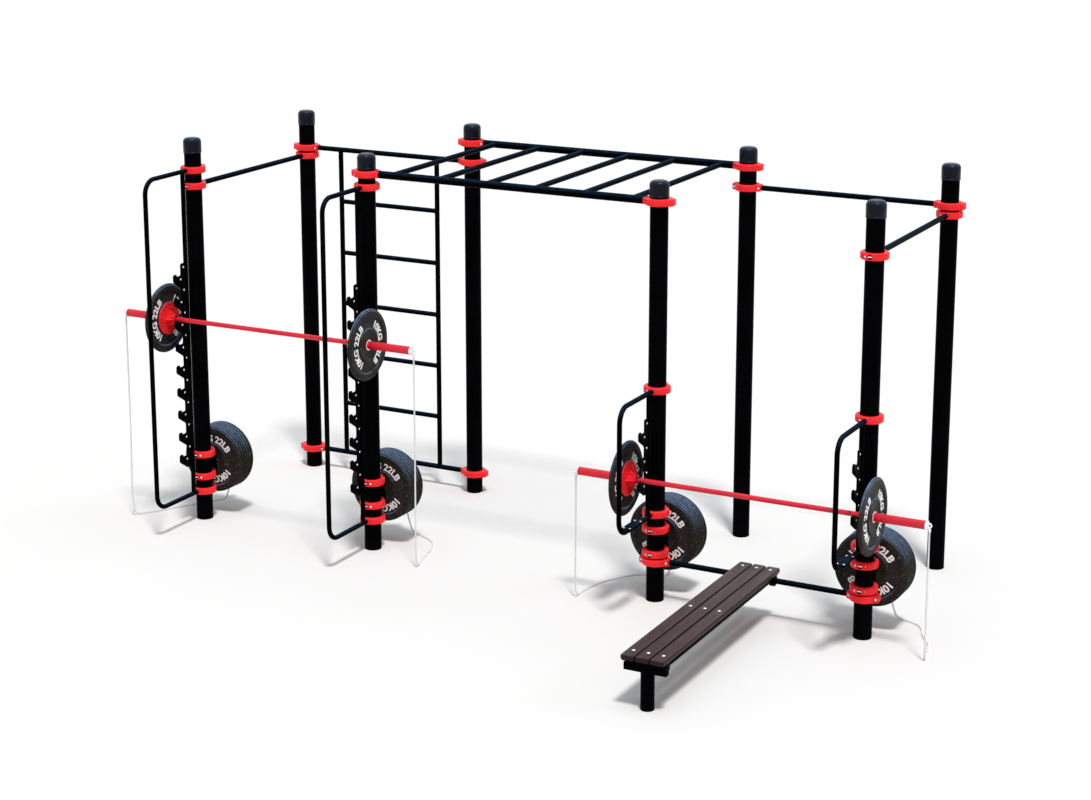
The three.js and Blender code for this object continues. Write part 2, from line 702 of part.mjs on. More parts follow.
function cableGeometry(label, side, shaftLevel) {
  const eyeX = side * (SLEEVE_END + FIT + END_COLLAR_LENGTH + (EYE_DIAMETER - EYE_THICKNESS) / 2);
  const underEye = EYE_DIAMETER / 2 + FIT;
  const pegEyeY = PEG_END + (EYE_DIAMETER - EYE_THICKNESS) / 2;
  const fallHeight = shaftLevel - underEye - CABLE_FLOOR;
  const climbHeight = PEG_LEVEL - underEye - CABLE_FLOOR;
  const leanAt = (share) => side * CABLE_LEAN * (1 - share) ** 1.5;
  const run = CABLE_FLOOR_POINTS[label];
  const points = [
    ...CABLE_FALL_SHARES.map((share) => [eyeX, SHAFT_Y, CABLE_FLOOR + share * fallHeight]),
    ...cableCorner(eyeX, SHAFT_Y, run[0]),
    ...run.map(([x, y]) => [x, y, CABLE_FLOOR]),
    ...cableCorner(leanAt(CABLE_BEND_RADIUS / climbHeight), pegEyeY, run.at(-1)).reverse(),
    ...CABLE_CLIMB_SHARES.map((share) => [leanAt(share), pegEyeY, CABLE_FLOOR + share * climbHeight]),
  ].map((point) => new THREE.Vector3(...point));
  const curve = new THREE.CatmullRomCurve3(points, false, 'centripetal');
  const rings = curve.getPoints(CABLE_STEPS_PER_POINT * (points.length - 1));
  rings.forEach((ring) => ring.setZ(Math.max(ring.z, CABLE_FLOOR)));
  return closed(swept(rings, CABLE_DIAMETER, CABLE_SIDES));
}

// Assembly
const station = new THREE.Group();
station.position.set(-ORIGIN_X, -ORIGIN_Y, 0);

function placeAt(x, y) {
  const group = new THREE.Group();
  group.position.set(x, y, 0);
  station.add(group);
  return group;
}

COLUMNS.forEach((x, column) => {
  [['front', 0], ['back', ROW_DEPTH]].forEach(([row, y]) => {
    const group = placeAt(x, y);
    const cap = makeMesh(`post_cap_${row}_${column + 1}`, 'capPlastic', capGeometry());
    cap.position.z = STATION_HEIGHT - CAP_HEIGHT;
    group.add(makeMesh(`post_${row}_${column + 1}`, 'powderCoat', postGeometry()), cap);
  });
});

const bars = [
  ['pull_up_bar_left', COLUMNS[0], 0, ROW_DEPTH, PULL_UP_LEVEL, 'y'],
  ['pull_up_bar_right', COLUMNS[3], 0, ROW_DEPTH, PULL_UP_LEVEL, 'y'],
  ['pull_up_bar_back', COLUMNS[2], ROW_DEPTH, SIDE_BAY, TOP_BAR_LEVEL, 'x'],
  ['bench_bar', COLUMNS[2], 0, SIDE_BAY, BENCH_BAR_LEVEL, 'x'],
];
bars.forEach(([name, x, y, span, level, along]) => {
  const solid = joined(clampedBar(span, level, BAR_DIAMETER, along));
  const bar = along === 'y' ? withSockets(solid, [level]) : solid;
  placeAt(x, y).add(makeMesh(name, 'powderCoat', toGeometry(bar)));
});
placeAt(COLUMNS[0], ROW_DEPTH).add(makeMesh('wall_ladder', 'powderCoat', ladderGeometry()));
placeAt(COLUMNS[1], 0).add(makeMesh('monkey_bars', 'powderCoat', monkeyBarGeometry()));

const rackBays = [
  { name: 'left', columns: [0, 1], loop: TALL_LOOP, seat: SEAT_FROM_LOWEST_TALL },
  { name: 'right', columns: [2, 3], loop: SHORT_LOOP, seat: SEAT_FROM_LOWEST_SHORT },
];
rackBays.forEach((bay) => {
  const seatLevel = bay.loop.firstHook + bay.seat * HOOK_PITCH + HOOK_SLOT_RISE;
  const shaftLevel = seatLevel + SHAFT_DIAMETER / 2 + FIT;
  const barbell = placeAt(COLUMNS[bay.columns[0]] + SIDE_BAY / 2, SHAFT_Y);
  barbell.position.z = shaftLevel;
  barbell.add(makeMesh(`barbell_shaft_${bay.name}`, 'barRed', shaftGeometry()));
  bay.columns.forEach((column, index) => {
    const side = index === 0 ? -1 : 1;
    const label = `${bay.name}_${column + 1}`;
    const post = placeAt(COLUMNS[column], 0);
    const stack = makeMesh(`plate_stack_${label}`, 'rubber', plateGeometry(STACK_PLATES));
    stack.rotation.x = -Math.PI / 2;
    stack.position.set(0, STACK_START, PEG_LEVEL);
    post.add(
      makeMesh(`rack_loop_${label}`, 'powderCoat', rackGeometry(bay.loop)),
      makeMesh(`hook_plate_${label}`, 'powderCoat', hookPlateGeometry(bay.loop)),
      makeMesh(`storage_peg_${label}`, 'clampRed', storageGeometry()),
      stack,
      makeMesh(`cable_${label}`, 'cable', cableGeometry(label, side, shaftLevel)),
    );
    const barEnd = new THREE.Group();
    barEnd.position.x = side * SIDE_BAY / 2;
    barEnd.rotation.z = side < 0 ? Math.PI : 0;
    const plate = makeMesh(`bar_plate_${label}`, 'rubber', plateGeometry(1));
    plate.rotation.y = Math.PI / 2;
    plate.position.x = FLANGE_END + FIT;
    barEnd.add(
      makeMesh(`barbell_sleeve_${label}`, 'barRed', sleeveGeometry()),
      makeMesh(`barbell_end_eye_${label}`, 'zinc', endEyeGeometry()),
      plate,
    );
    barbell.add(barEnd);
  });
});

const bench = placeAt(BENCH_X, 0);
bench.add(makeMesh('bench_frame', 'powderCoat', benchFrameGeometry()));
for (let plank = 0; plank < PLANK_COUNT; plank += 1) {
  const mesh = makeMesh(`bench_plank_${plank + 1}`, 'plank', plankGeometry());
  mesh.position.x = (plank - (PLANK_COUNT - 1) / 2) * (PLANK_WIDTH + PLANK_GAP);
  mesh.position.z = PLANK_BOTTOM;
  bench.add(mesh);
}

const root = new THREE.Group();
root.add(station);
export default root;
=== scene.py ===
"""Finished view of an outdoor fitness station.

Two rows of four black posts carry a wall ladder, monkey bars, pull-up bars and four hook racks.
Two barbells rest in the racks, spare plates hang on pegs behind them, and a plank bench stands
in the right-hand bay. Lengths are in metres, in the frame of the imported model.
"""
import logging
import math
from dataclasses import dataclass, field
from enum import Enum
from typing import Iterable, Optional, Sequence, Union

import bmesh
import bpy
from mathutils import Matrix, Vector


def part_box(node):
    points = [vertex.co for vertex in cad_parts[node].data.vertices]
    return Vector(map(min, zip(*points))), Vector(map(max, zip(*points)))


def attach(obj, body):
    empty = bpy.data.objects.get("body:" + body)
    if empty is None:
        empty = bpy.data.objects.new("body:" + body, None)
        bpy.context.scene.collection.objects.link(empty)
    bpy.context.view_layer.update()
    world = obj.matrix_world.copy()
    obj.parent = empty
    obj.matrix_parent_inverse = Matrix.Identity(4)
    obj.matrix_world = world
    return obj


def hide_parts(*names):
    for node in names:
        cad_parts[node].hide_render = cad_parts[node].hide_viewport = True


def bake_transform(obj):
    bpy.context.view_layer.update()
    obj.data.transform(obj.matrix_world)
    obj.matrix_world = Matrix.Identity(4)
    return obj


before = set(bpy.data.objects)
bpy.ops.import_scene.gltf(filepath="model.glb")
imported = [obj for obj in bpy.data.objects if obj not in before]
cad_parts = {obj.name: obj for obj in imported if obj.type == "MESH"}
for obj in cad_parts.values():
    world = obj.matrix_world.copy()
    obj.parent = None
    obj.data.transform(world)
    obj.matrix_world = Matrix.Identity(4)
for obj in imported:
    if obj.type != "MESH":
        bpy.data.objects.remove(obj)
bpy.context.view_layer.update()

log = logging.getLogger("fitness_station")

Colour = tuple[float, float, float]
Point = Union[Vector, Sequence[float]]
Limits = tuple[float, float]
Socket = bpy.types.NodeSocket
Outputs = bpy.types.NodeOutputs

X_AXIS = Vector((1, 0, 0))
Y_AXIS = Vector((0, 1, 0))
Z_AXIS = Vector((0, 0, 1))
QUARTER_TURN = math.pi / 2
HALF_TURN = math.pi
FULL_TURN = 2 * math.pi

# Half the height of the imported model's clamps, from which the levels are read.
CLAMP_HALF_HEIGHT = 0.025
# How far from a post's axis the tubes plug into their clamps.
TUBE_SEAT = 0.0675
BAR_RADIUS = 0.017


def tone(code: str) -> Colour:
    """Turns a written colour into the linear values that shaders use.

    Args:
        code: Six hexadecimal digits, red first.

    Returns:
        The red, green and blue values, from 0 to 1.
    """
    def linear(value: float) -> float:
        """Undoes the display curve for one channel."""
        return value / 12.92 if value <= 0.04045 else ((value + 0.055) / 1.055) ** 2.4

    red, green, blue = (int(code[place:place + 2], 16) / 255 for place in (0, 2, 4))
    return linear(red), linear(green), linear(blue)


def turns(count: int) -> list[float]:
    """Returns the angles that part a full turn into equal steps."""
    return [FULL_TURN * step / count for step in range(count)]


def polar(radius: float, angle: float, height: float = 0.0) -> Vector:
    """Returns the point at a radius and an angle about the Z axis."""
    return Vector((radius * math.cos(angle), radius * math.sin(angle), height))


def bearing(azimuth: float, elevation: float) -> Vector:
    """Returns the way to something seen at two angles in degrees, from -Y towards +X and up."""
    turn, tilt = math.radians(azimuth), math.radians(elevation)
    return Vector((math.sin(turn) * math.cos(tilt), -math.cos(turn) * math.cos(tilt), math.sin(tilt)))


def facing(point: Point, direction: Vector) -> Matrix:
    """Returns the matrix of a local frame at a point, with its Z axis along a direction."""
    turn = direction.to_track_quat("Z", "Y").to_matrix().to_4x4()
    return Matrix.Translation(point) @ turn


def framed(point: Point, x_axis: Vector, y_axis: Vector) -> Matrix:
    """Returns the matrix of a local frame at a point, from its X and Y axes."""
    turn = Matrix((x_axis, y_axis, x_axis.cross(y_axis))).transposed().to_4x4()
    return Matrix.Translation(point) @ turn


def rounded_outline(corners: Sequence[tuple[float, float, float]], steps: int = 5) -> list[Vector]:
    """Rounds the corners of a closed outline.

    Args:
        corners: The corners in order, each as x, y and the radius of its round.
        steps: How many stretches a round has.

    Returns:
        The points of the rounded outline, flat in X and Y.
    """
    points: list[Vector] = []
    count = len(corners)
    for index, (x, y, radius) in enumerate(corners):
        here = Vector((x, y, 0))
        before = Vector((*corners[index - 1][:2], 0))
        after = Vector((*corners[(index + 1) % count][:2], 0))
        arriving, leaving = (before - here).normalized(), (after - here).normalized()
        opening = arriving.angle(leaving)
        if radius == 0 or opening > 0.999 * HALF_TURN:
            points.append(here)
            continue
        reach = radius / math.tan(opening / 2)
        reach = min(reach, 0.48 * (before - here).length, 0.48 * (after - here).length)
        start, end = here + arriving * reach, here + leaving * reach
        bisector = (arriving + leaving).normalized()
        centre = here + bisector * (reach / math.cos(opening / 2))
        first, last = (start - centre).normalized(), (end - centre).normalized()
        bend = (start - centre).length
        for step in range(steps + 1):
            points.append(centre + bend * first.slerp(last, step / steps))
    return points


def rounded_rectangle(low_x: float, low_y: float, high_x: float, high_y: float,
                      radius: float) -> list[Vector]:
    """Returns the outline of a rectangle whose corners share one round."""
    return rounded_outline([
        (low_x, low_y, radius), (high_x, low_y, radius), (high_x, high_y, radius), (low_x, high_y, radius),
    ])


def add_object(name: str, data: bpy.types.ID) -> bpy.types.Object:
    """Makes an object and links it to the scene.

    Args:
        name: The object's name.
        data: What it shows.

    Returns:
        The object.
    """
    item = bpy.data.objects.new(name, data)
    bpy.context.scene.collection.objects.link(item)
    return item


def evaluated_mesh(item: bpy.types.Object) -> bpy.types.Mesh:
    """Returns a mesh of what an object looks like with its modifiers or as a curve."""
    return bpy.data.meshes.new_from_object(item.evaluated_get(bpy.context.evaluated_depsgraph_get()))


class Shape:
    """A mesh that grows form by form, in the row frame."""

    def __init__(self) -> None:
        """Starts with nothing in it."""
        self.bm = bmesh.new()

    def add_mesh(self, mesh: bpy.types.Mesh, place: Matrix) -> "Shape":
        """Adds a copy of a mesh, with its own frame placed by a matrix.

        Args:
            mesh: The mesh to copy.
            place: Where its own frame goes.

        Returns:
            This shape.
        """
        known = set(self.bm.verts)
        self.bm.from_mesh(mesh)
        fresh = [vertex for vertex in self.bm.verts if vertex not in known]
        bmesh.ops.transform(self.bm, matrix=place, verts=fresh)
        return self

    def loft(self, rings: Sequence[Sequence[Vector]], looped: bool = False, capped: bool = True) -> "Shape":
        """Skins a row of rings; a ring of one point closes the skin there.

        Args:
            rings: Rings of points, all of one length apart from single points.
            looped: Whether the last ring joins the first.
            capped: Whether the open ends are filled.

        Returns:
            This shape.
        """
        grid = [[self.bm.verts.new(point) for point in ring] for ring in rings]
        pairs = list(zip(grid, grid[1:]))
        if looped:
            pairs.append((grid[-1], grid[0]))
        for low, high in pairs:
            count = max(len(low), len(high))
            for step in range(count):
                turn = (step + 1) % count
                corners = [low[step % len(low)], low[turn % len(low)],
                           high[turn % len(high)], high[step % len(high)]]
                self.bm.faces.new(list(dict.fromkeys(corners)))
        if capped and not looped:
            if len(grid[0]) > 2:
                self.bm.faces.new(list(reversed(grid[0])))
            if len(grid[-1]) > 2:
                self.bm.faces.new(grid[-1])
        return self

    def tube(self, points: Sequence[Point], radius: float, sides: int = 32, looped: bool = False) -> "Shape":
        """Sweeps a round section along a path without twist.

        Args:
            points: The path.
            radius: The section's radius.
            sides: How many sides the section has.
            looped: Whether the path closes on itself.

        Returns:
            This shape.
        """
        path = [Vector(point) for point in points]
        count = len(path)
        angles = turns(sides)
        rings = []
        normal: Optional[Vector] = None
        for index, here in enumerate(path):
            before = path[index - 1] if looped or index > 0 else here
            after = path[(index + 1) % count] if looped or index < count - 1 else here
            along = (after - before).normalized()
            if normal is None:
                normal = along.orthogonal().normalized()
            normal = (normal - along * normal.dot(along)).normalized()
            side = along.cross(normal)
            rings.append([here + (normal * math.cos(a) + side * math.sin(a)) * radius for a in angles])
        return self.loft(rings, looped=looped)

    def lathe(self, profile: Sequence[tuple[float, float]], place: Matrix, sides: int = 64,
              looped: bool = False) -> "Shape":
        """Turns a profile about the local Z axis.

        Args:
            profile: Pairs of radius and height; a radius of zero is a point on the axis.
            place: Where the local frame goes.
            sides: How many sides the turned form has.
            looped: Whether the profile closes on itself, as a ring's does.

        Returns:
            This shape.
        """
        rings = []
        for radius, height in profile:
            angles = turns(sides) if radius else [0.0]
            rings.append([place @ polar(radius, angle, height) for angle in angles])
        return self.loft(rings, looped=looped)

    def slab(self, outline: Sequence[Vector], thickness: float, place: Matrix, bevel: float = 0.001,
             segments: int = 2) -> "Shape":
        """Makes a flat plate with eased edges.

        Args:
            outline: The plate's outline in X and Y.
            thickness: Its height above the local XY plane.
            place: Where the local frame goes.
            bevel: How far the edges are eased.
            segments: How many stretches an eased edge has.

        Returns:
            This shape.
        """
        plate = bmesh.new()
        face = plate.faces.new([plate.verts.new(point) for point in outline])
        grown = bmesh.ops.extrude_face_region(plate, geom=[face])
        raised = [item for item in grown["geom"] if isinstance(item, bmesh.types.BMVert)]
        bmesh.ops.translate(plate, verts=raised, vec=(0, 0, thickness))
        rims = [edge for edge in plate.edges if abs(edge.verts[0].co.z - edge.verts[1].co.z) < thickness / 2]
        bmesh.ops.bevel(plate, geom=rims, offset=bevel, segments=segments, profile=0.5, affect="EDGES",
                        clamp_overlap=True)
        bmesh.ops.transform(plate, matrix=place, verts=plate.verts)
        return self._absorb(plate)

    def box(self, low: Point, high: Point, bevel: float) -> "Shape":
        """Makes a block with eased edges between its lowest and its highest corner.

        Args:
            low: The lowest corner.
            high: The highest corner.
            bevel: How far the edges are eased, or 0 for sharp ones.

        Returns:
            This shape.
        """
        low, high = Vector(low), Vector(high)
        block = bmesh.new()
        bmesh.ops.create_cube(block, size=1)
        size = high - low
        place = Matrix.Translation((low + high) / 2) @ Matrix.Diagonal((*size, 1))
        bmesh.ops.transform(block, matrix=place, verts=block.verts)
        if bevel > 0:
            bmesh.ops.bevel(block, geom=list(block.edges), offset=bevel, segments=3, profile=0.5,
                            affect="EDGES")
        return self._absorb(block)

    def ring(self, centre: Point, axis: Vector, radius: float, wire: float) -> "Shape":
        """Makes a round ring of round wire about an axis."""
        place = facing(centre, axis)
        return self.tube([place @ polar(radius, angle) for angle in turns(32)], wire, sides=14, looped=True)

    def dome_bolt(self, point: Point, outwards: Vector, radius: float, height: float) -> "Shape":
        """Makes a domed bolt head on a thin washer.

        Args:
            point: The middle of its seat.
            outwards: The way that the head faces.
            radius: The washer's radius.
            height: How high the head stands.

        Returns:
            This shape.
        """
        washer = height * 0.25
        head = radius * 0.8
        steps = 7
        profile = [(0.0, 0.0), (radius, 0.0), (radius, washer * 0.8), (radius * 0.96, washer), (head, washer)]
        for step in range(1, steps):
            angle = QUARTER_TURN * step / steps
            profile.append((head * math.cos(angle), washer + (height - washer) * math.sin(angle)))
        profile.append((0.0, height))
        return self.lathe(profile, facing(point, outwards), sides=24)

    def pin(self, radius: float, length: float, place: Matrix, ease: float = 0.0008,
            sides: int = 28) -> "Shape":
        """Makes a round bar with eased ends, from the local origin up.

        Args:
            radius: The bar's radius.
            length: Its length.
            place: Where the local frame goes.
            ease: How far its ends are eased.
            sides: How many sides it has.

        Returns:
            This shape.
        """
        profile = [
            (0.0, 0.0), (radius - ease, 0.0), (radius, ease), (radius, length - ease),
            (radius - ease, length), (0.0, length),
        ]
        return self.lathe(profile, place, sides=sides)

    def bored_disc(self, bore: float, radius: float, length: float, ease: float, place: Matrix,
                   sides: int) -> "Shape":
        """Makes a disc with a bore, its outer edges eased, from the local origin up."""
        profile = [
            (bore, 0.0), (radius - ease, 0.0), (radius, ease), (radius, length - ease),
            (radius - ease, length), (bore, length),
        ]
        return self.lathe(profile, place, sides=sides, looped=True)

    def hex_nut(self, point: Point, outwards: Vector, radius: float, height: float) -> "Shape":
        """Makes a chamfered hexagon nut with the end of its bolt in it.

        Args:
            point: The middle of its seat.
            outwards: The way that the nut faces.
            radius: The hexagon's radius over its corners.
            height: How high the nut stands.

        Returns:
            This shape.
        """
        place = facing(point, outwards)
        self.slab([polar(radius, angle) for angle in turns(6)], height, place, bevel=height * 0.12)
        end, top = radius * 0.5, height * 1.25
        profile = [(0.0, 0.0), (end, 0.0), (end, height * 1.15), (end * 0.8, top), (0.0, top)]
        return self.lathe(profile, place, sides=20)

    def saddle_weld(self, point: Point, branch: Vector, trunk: Vector, branch_radius: float,
                    trunk_radius: float, bead: float = 0.0025) -> "Shape":
        """Lays a weld bead where one tube meets the side of another.

        Args:
            point: Where the two centre lines cross.
            branch: The way that the joined tube runs from there.
            trunk: The way that the tube that carries it runs.
            branch_radius: The joined tube's radius.
            trunk_radius: The carrying tube's radius.
            bead: The bead's own radius.

        Returns:
            This shape.
        """
        place = framed(point, trunk.cross(branch), trunk)
        ripple_depth, ripples = 0.02, 14
        path = []
        for angle in turns(40):
            x = branch_radius * math.cos(angle)
            rise = math.sqrt(max(trunk_radius ** 2 - min(abs(x), trunk_radius) ** 2, 0.0))
            ripple = 1 + ripple_depth * math.cos(ripples * angle)
            path.append(place @ Vector((x * ripple, branch_radius * math.sin(angle) * ripple, rise)))
        return self.tube(path, bead, sides=10, looped=True)

    def to_mesh(self, name: str) -> bpy.types.Mesh:
        """Writes the shape to a mesh with its faces turned outwards.

        Args:
            name: The mesh's name.

        Returns:
            The mesh.
        """
        bmesh.ops.recalc_face_normals(self.bm, faces=self.bm.faces)
        mesh = bpy.data.meshes.new(name)
        self.bm.to_mesh(mesh)
        return mesh

    def _absorb(self, other: bmesh.types.BMesh) -> "Shape":
        """Moves another edit mesh into this one.

        Args:
            other: The edit mesh, which is freed.

        Returns:
            This shape.
        """
        mesh = bpy.data.meshes.new("form")
        other.to_mesh(mesh)
        other.free()
        self.bm.from_mesh(mesh)
        bpy.data.meshes.remove(mesh)
        return self


def carved(solid: Shape, cutters: Shape) -> bpy.types.Mesh:
    """Cuts one shape out of another.

    Args:
        solid: The shape that is cut.
        cutters: What is taken away, as closed forms.

    Returns:
        The cut mesh.
    """
    holders = [add_object("form", shape.to_mesh("form")) for shape in (solid, cutters)]
    cut = holders[0].modifiers.new("cut", "BOOLEAN")
    cut.operation = "DIFFERENCE"
    cut.solver = "EXACT"
    cut.use_self = True
    cut.object = holders[1]
    mesh = evaluated_mesh(holders[0])
    for holder in holders:
        spare = holder.data
        bpy.data.objects.remove(holder)
        bpy.data.meshes.remove(spare)
    return mesh


class Wiring:
    """Short-hand for adding and joining the nodes of one tree."""

    def __init__(self, tree: bpy.types.NodeTree) -> None:
        """Works on one tree."""
        self.tree = tree

    def node(self, kind: str, inputs: Optional[dict] = None, **settings: object) -> bpy.types.Node:
        """Adds a node.

        Args:
            kind: The node's type.
            inputs: What each input takes, by name or place: a socket is joined, a value is written.
            settings: The node's own properties.

        Returns:
            The node.
        """
        node = self.tree.nodes.new(kind)
        for key, setting in settings.items():
            setattr(node, key, setting)
        self.fill(node, inputs or {})
        return node

    def fill(self, node: bpy.types.Node, inputs: dict) -> None:
        """Fills a node's inputs: a socket is joined, a value is written.

        Args:
            node: The node.
            inputs: What each input takes, by name or place.
        """
        for key, value in inputs.items():
            if isinstance(value, bpy.types.NodeSocket):
                self.tree.links.new(value, node.inputs[key])
            else:
                node.inputs[key].default_value = value

    def math(self, operation: str, *values: Union[float, Socket], clamp: bool = False) -> Socket:
        """Adds a sum and returns its output."""
        node = self.node("ShaderNodeMath", dict(enumerate(values)), operation=operation, use_clamp=clamp)
        return node.outputs[0]

    def blend(self, share: Union[float, Socket], low: object, high: object) -> Socket:
        """Mixes two colours and returns the result."""
        return self.node("ShaderNodeMix", {0: share, 6: low, 7: high}, data_type="RGBA").outputs[2]

    def ranged(self, value: Socket, start: float, end: float, low: float = 0.0, high: float = 1.0) -> Socket:
        """Maps a value smoothly from one range to another and returns it."""
        node = self.node("ShaderNodeMapRange", {0: value, 1: start, 2: end, 3: low, 4: high},
                         interpolation_type="SMOOTHSTEP")
        return node.outputs[0]

    def upwards(self) -> Socket:
        """Returns how far the surface faces up: 1 on a level top, 0 on a wall."""
        normal = self.node("ShaderNodeNewGeometry").outputs["Normal"]
        return self.node("ShaderNodeSeparateXYZ", {0: normal}).outputs[2]

    def noise(self, vector: Socket, scale: Union[float, Socket], detail: float,
              roughness: float = 0.5) -> Socket:
        """Adds a noise texture and returns its value."""
        inputs = {"Vector": vector, "Scale": scale, "Detail": detail, "Roughness": roughness}
        return self.node("ShaderNodeTexNoise", inputs).outputs["Fac"]

    def stretched(self, vector: Socket, share: float) -> Socket:
        """Draws a texture's space out along Y: a share of 0.1 makes its forms ten times as long."""
        return self.node("ShaderNodeMapping", {"Vector": vector, "Scale": (1.0, share, 1.0)}).outputs[0]

    def background_rays(self) -> Socket:
        """Returns 1 for the rays that show the background itself, in the view, in gloss or in glass."""
        path = self.node("ShaderNodeLightPath").outputs
        seen = self.math("MAXIMUM", path["Is Camera Ray"], path["Is Glossy Ray"])
        return self.math("MAXIMUM", seen, path["Is Transmission Ray"])


class SocketKind(Enum):
    """What a socket of an effect carries, which its name tells."""

    VALUE = "NodeSocketFloat"
    COLOUR = "NodeSocketColor"
    VECTOR = "NodeSocketVector"

    @classmethod
    def of(cls, name: str) -> "SocketKind":
        """Returns the kind of the socket of that name."""
        if name == "Vector":
            return cls.VECTOR
        return cls.COLOUR if name.endswith("Colour") else cls.VALUE


@dataclass(frozen=True)
class Effect:
    """A surface effect that several finishes share, as one node group."""

    name: str
    inputs: tuple[str, ...]
    outputs: tuple[str, ...]

    def tree(self) -> bpy.types.NodeTree:
        """Returns the group, built on its first use."""
        known = bpy.data.node_groups.get(self.name)
        if known:
            return known
        group = bpy.data.node_groups.new(self.name, "ShaderNodeTree")
        for way, sockets in (("INPUT", self.inputs), ("OUTPUT", self.outputs)):
            for name in sockets:
                group.interface.new_socket(name=name, in_out=way, socket_type=SocketKind.of(name).value)
        wiring = Wiring(group)
        start = wiring.node("NodeGroupInput").outputs
        end = wiring.node("NodeGroupOutput").inputs
        for name, socket in self.wire(wiring, start).items():
            group.links.new(socket, end[name])
        return group

    def wire(self, wiring: Wiring, start: Outputs) -> dict[str, Socket]:
        """Joins the nodes inside the group and returns what each output takes, by its name."""
        raise NotImplementedError

    def use(self, wiring: Wiring, inputs: dict) -> Outputs:
        """Places the group in a material, fills its inputs and returns its outputs."""
        return wiring.node("ShaderNodeGroup", inputs, node_tree=self.tree()).outputs


@dataclass(frozen=True)
class CoatTexture(Effect):
    """The fine dimples and slow waves of a sprayed or moulded skin."""

    name: str = "coat texture"
    inputs: tuple[str, ...] = ("Vector", "Scale", "Waves")
    outputs: tuple[str, ...] = ("Height",)
    wave_scale: float = 0.12

    def wire(self, wiring: Wiring, start: Outputs) -> dict[str, Socket]:
        """Adds a slow noise to a fine one."""
        fine = wiring.noise(start["Vector"], start["Scale"], 2.0)
        slow_scale = wiring.math("MULTIPLY", start["Scale"], self.wave_scale)
        slow = wiring.noise(start["Vector"], slow_scale, 1.0)
        waves = wiring.math("MULTIPLY", slow, start["Waves"])
        return {"Height": wiring.math("ADD", fine, waves)}


@dataclass(frozen=True)
class Mottle(Effect):
    """Slow changes from one colour to another."""

    name: str = "mottle"
    inputs: tuple[str, ...] = ("Vector", "Colour", "Second Colour", "Scale", "Share")
    outputs: tuple[str, ...] = ("Colour", "Mask")
    edges: Limits = (0.35, 0.68)

    def wire(self, wiring: Wiring, start: Outputs) -> dict[str, Socket]:
        """Mixes the two colours by a noise."""
        cloud = wiring.noise(start["Vector"], start["Scale"], 5.0, 0.6)
        mask = wiring.ranged(cloud, *self.edges)
        share = wiring.math("MULTIPLY", mask, start["Share"])
        return {"Colour": wiring.blend(share, start["Colour"], start["Second Colour"]), "Mask": mask}


@dataclass(frozen=True)
class DustAndSheen(Effect):
    """A film on what faces up: pale dust, or painted sky sheen and highlight where its colour is bluish or
    light.
    """

    name: str = "dust and sheen"
    inputs: tuple[str, ...] = ("Vector", "Colour", "Dust And Sheen Colour", "Amount")
    outputs: tuple[str, ...] = ("Colour", "Mask")
    slopes: Limits = (0.12, 0.85)
    patch_scale: float = 38.0
    patch_edges: Limits = (0.3, 0.75)
    thinnest: float = 0.35

    def wire(self, wiring: Wiring, start: Outputs) -> dict[str, Socket]:
        """Masks the film by the slope and by a broken noise."""
        upwards = wiring.ranged(wiring.upwards(), *self.slopes)
        patches = wiring.noise(start["Vector"], self.patch_scale, 6.0, 0.65)
        broken = wiring.ranged(patches, *self.patch_edges, self.thinnest, 1.0)
        share = wiring.math("MULTIPLY", upwards, broken)
        mask = wiring.math("MULTIPLY", share, start["Amount"], clamp=True)
        return {"Colour": wiring.blend(mask, start["Colour"], start["Dust And Sheen Colour"]), "Mask": mask}


@dataclass(frozen=True)
class Scuffs(Effect):
    """Short hairline rubs that run every way."""

    name: str = "scuffs"
    inputs: tuple[str, ...] = ("Vector", "Scale", "Amount")
    outputs: tuple[str, ...] = ("Mask",)
    distortion: float = 26.0
    line_edges: Limits = (0.94, 0.995)
    patch_scale: float = 7.0
    patch_edges: Limits = (0.55, 0.7)

    def wire(self, wiring: Wiring, start: Outputs) -> dict[str, Socket]:
        """Breaks thin bands of a distorted wave by a slow noise."""
        wave = wiring.node("ShaderNodeTexWave", {
            "Vector": start["Vector"], "Scale": start["Scale"], "Distortion": self.distortion,
            "Detail": 3.0, "Detail Scale": 0.7, "Detail Roughness": 0.7,
        }, bands_direction="DIAGONAL").outputs["Fac"]
        line = wiring.ranged(wave, *self.line_edges)
        patch = wiring.ranged(wiring.noise(start["Vector"], self.patch_scale, 4.0), *self.patch_edges)
        both = wiring.math("MULTIPLY", line, patch)
        return {"Mask": wiring.math("MULTIPLY", both, start["Amount"], clamp=True)}


@dataclass(frozen=True)
class Flecks(Effect):
    """Small grains of another colour, sown unevenly."""

    name: str = "flecks"
    inputs: tuple[str, ...] = ("Vector", "Scale", "Size", "Share")
    outputs: tuple[str, ...] = ("Mask", "Relief")

    def wire(self, wiring: Wiring, start: Outputs) -> dict[str, Socket]:
        """Keeps the middles of some of the cells of a cell texture."""
        cells = wiring.node("ShaderNodeTexVoronoi", {"Vector": start["Vector"], "Scale": start["Scale"]})
        near = wiring.math("LESS_THAN", cells.outputs["Distance"], start["Size"])
        chance = wiring.node("ShaderNodeSeparateColor", {0: cells.outputs["Color"]}).outputs[0]
        chosen = wiring.math("LESS_THAN", chance, start["Share"])
        return {"Mask": wiring.math("MULTIPLY", near, chosen), "Relief": cells.outputs["Distance"]}


COAT_TEXTURE = CoatTexture()
MOTTLE = Mottle()
DUST_AND_SHEEN = DustAndSheen()
SCUFFS = Scuffs()
FLECKS = Flecks()


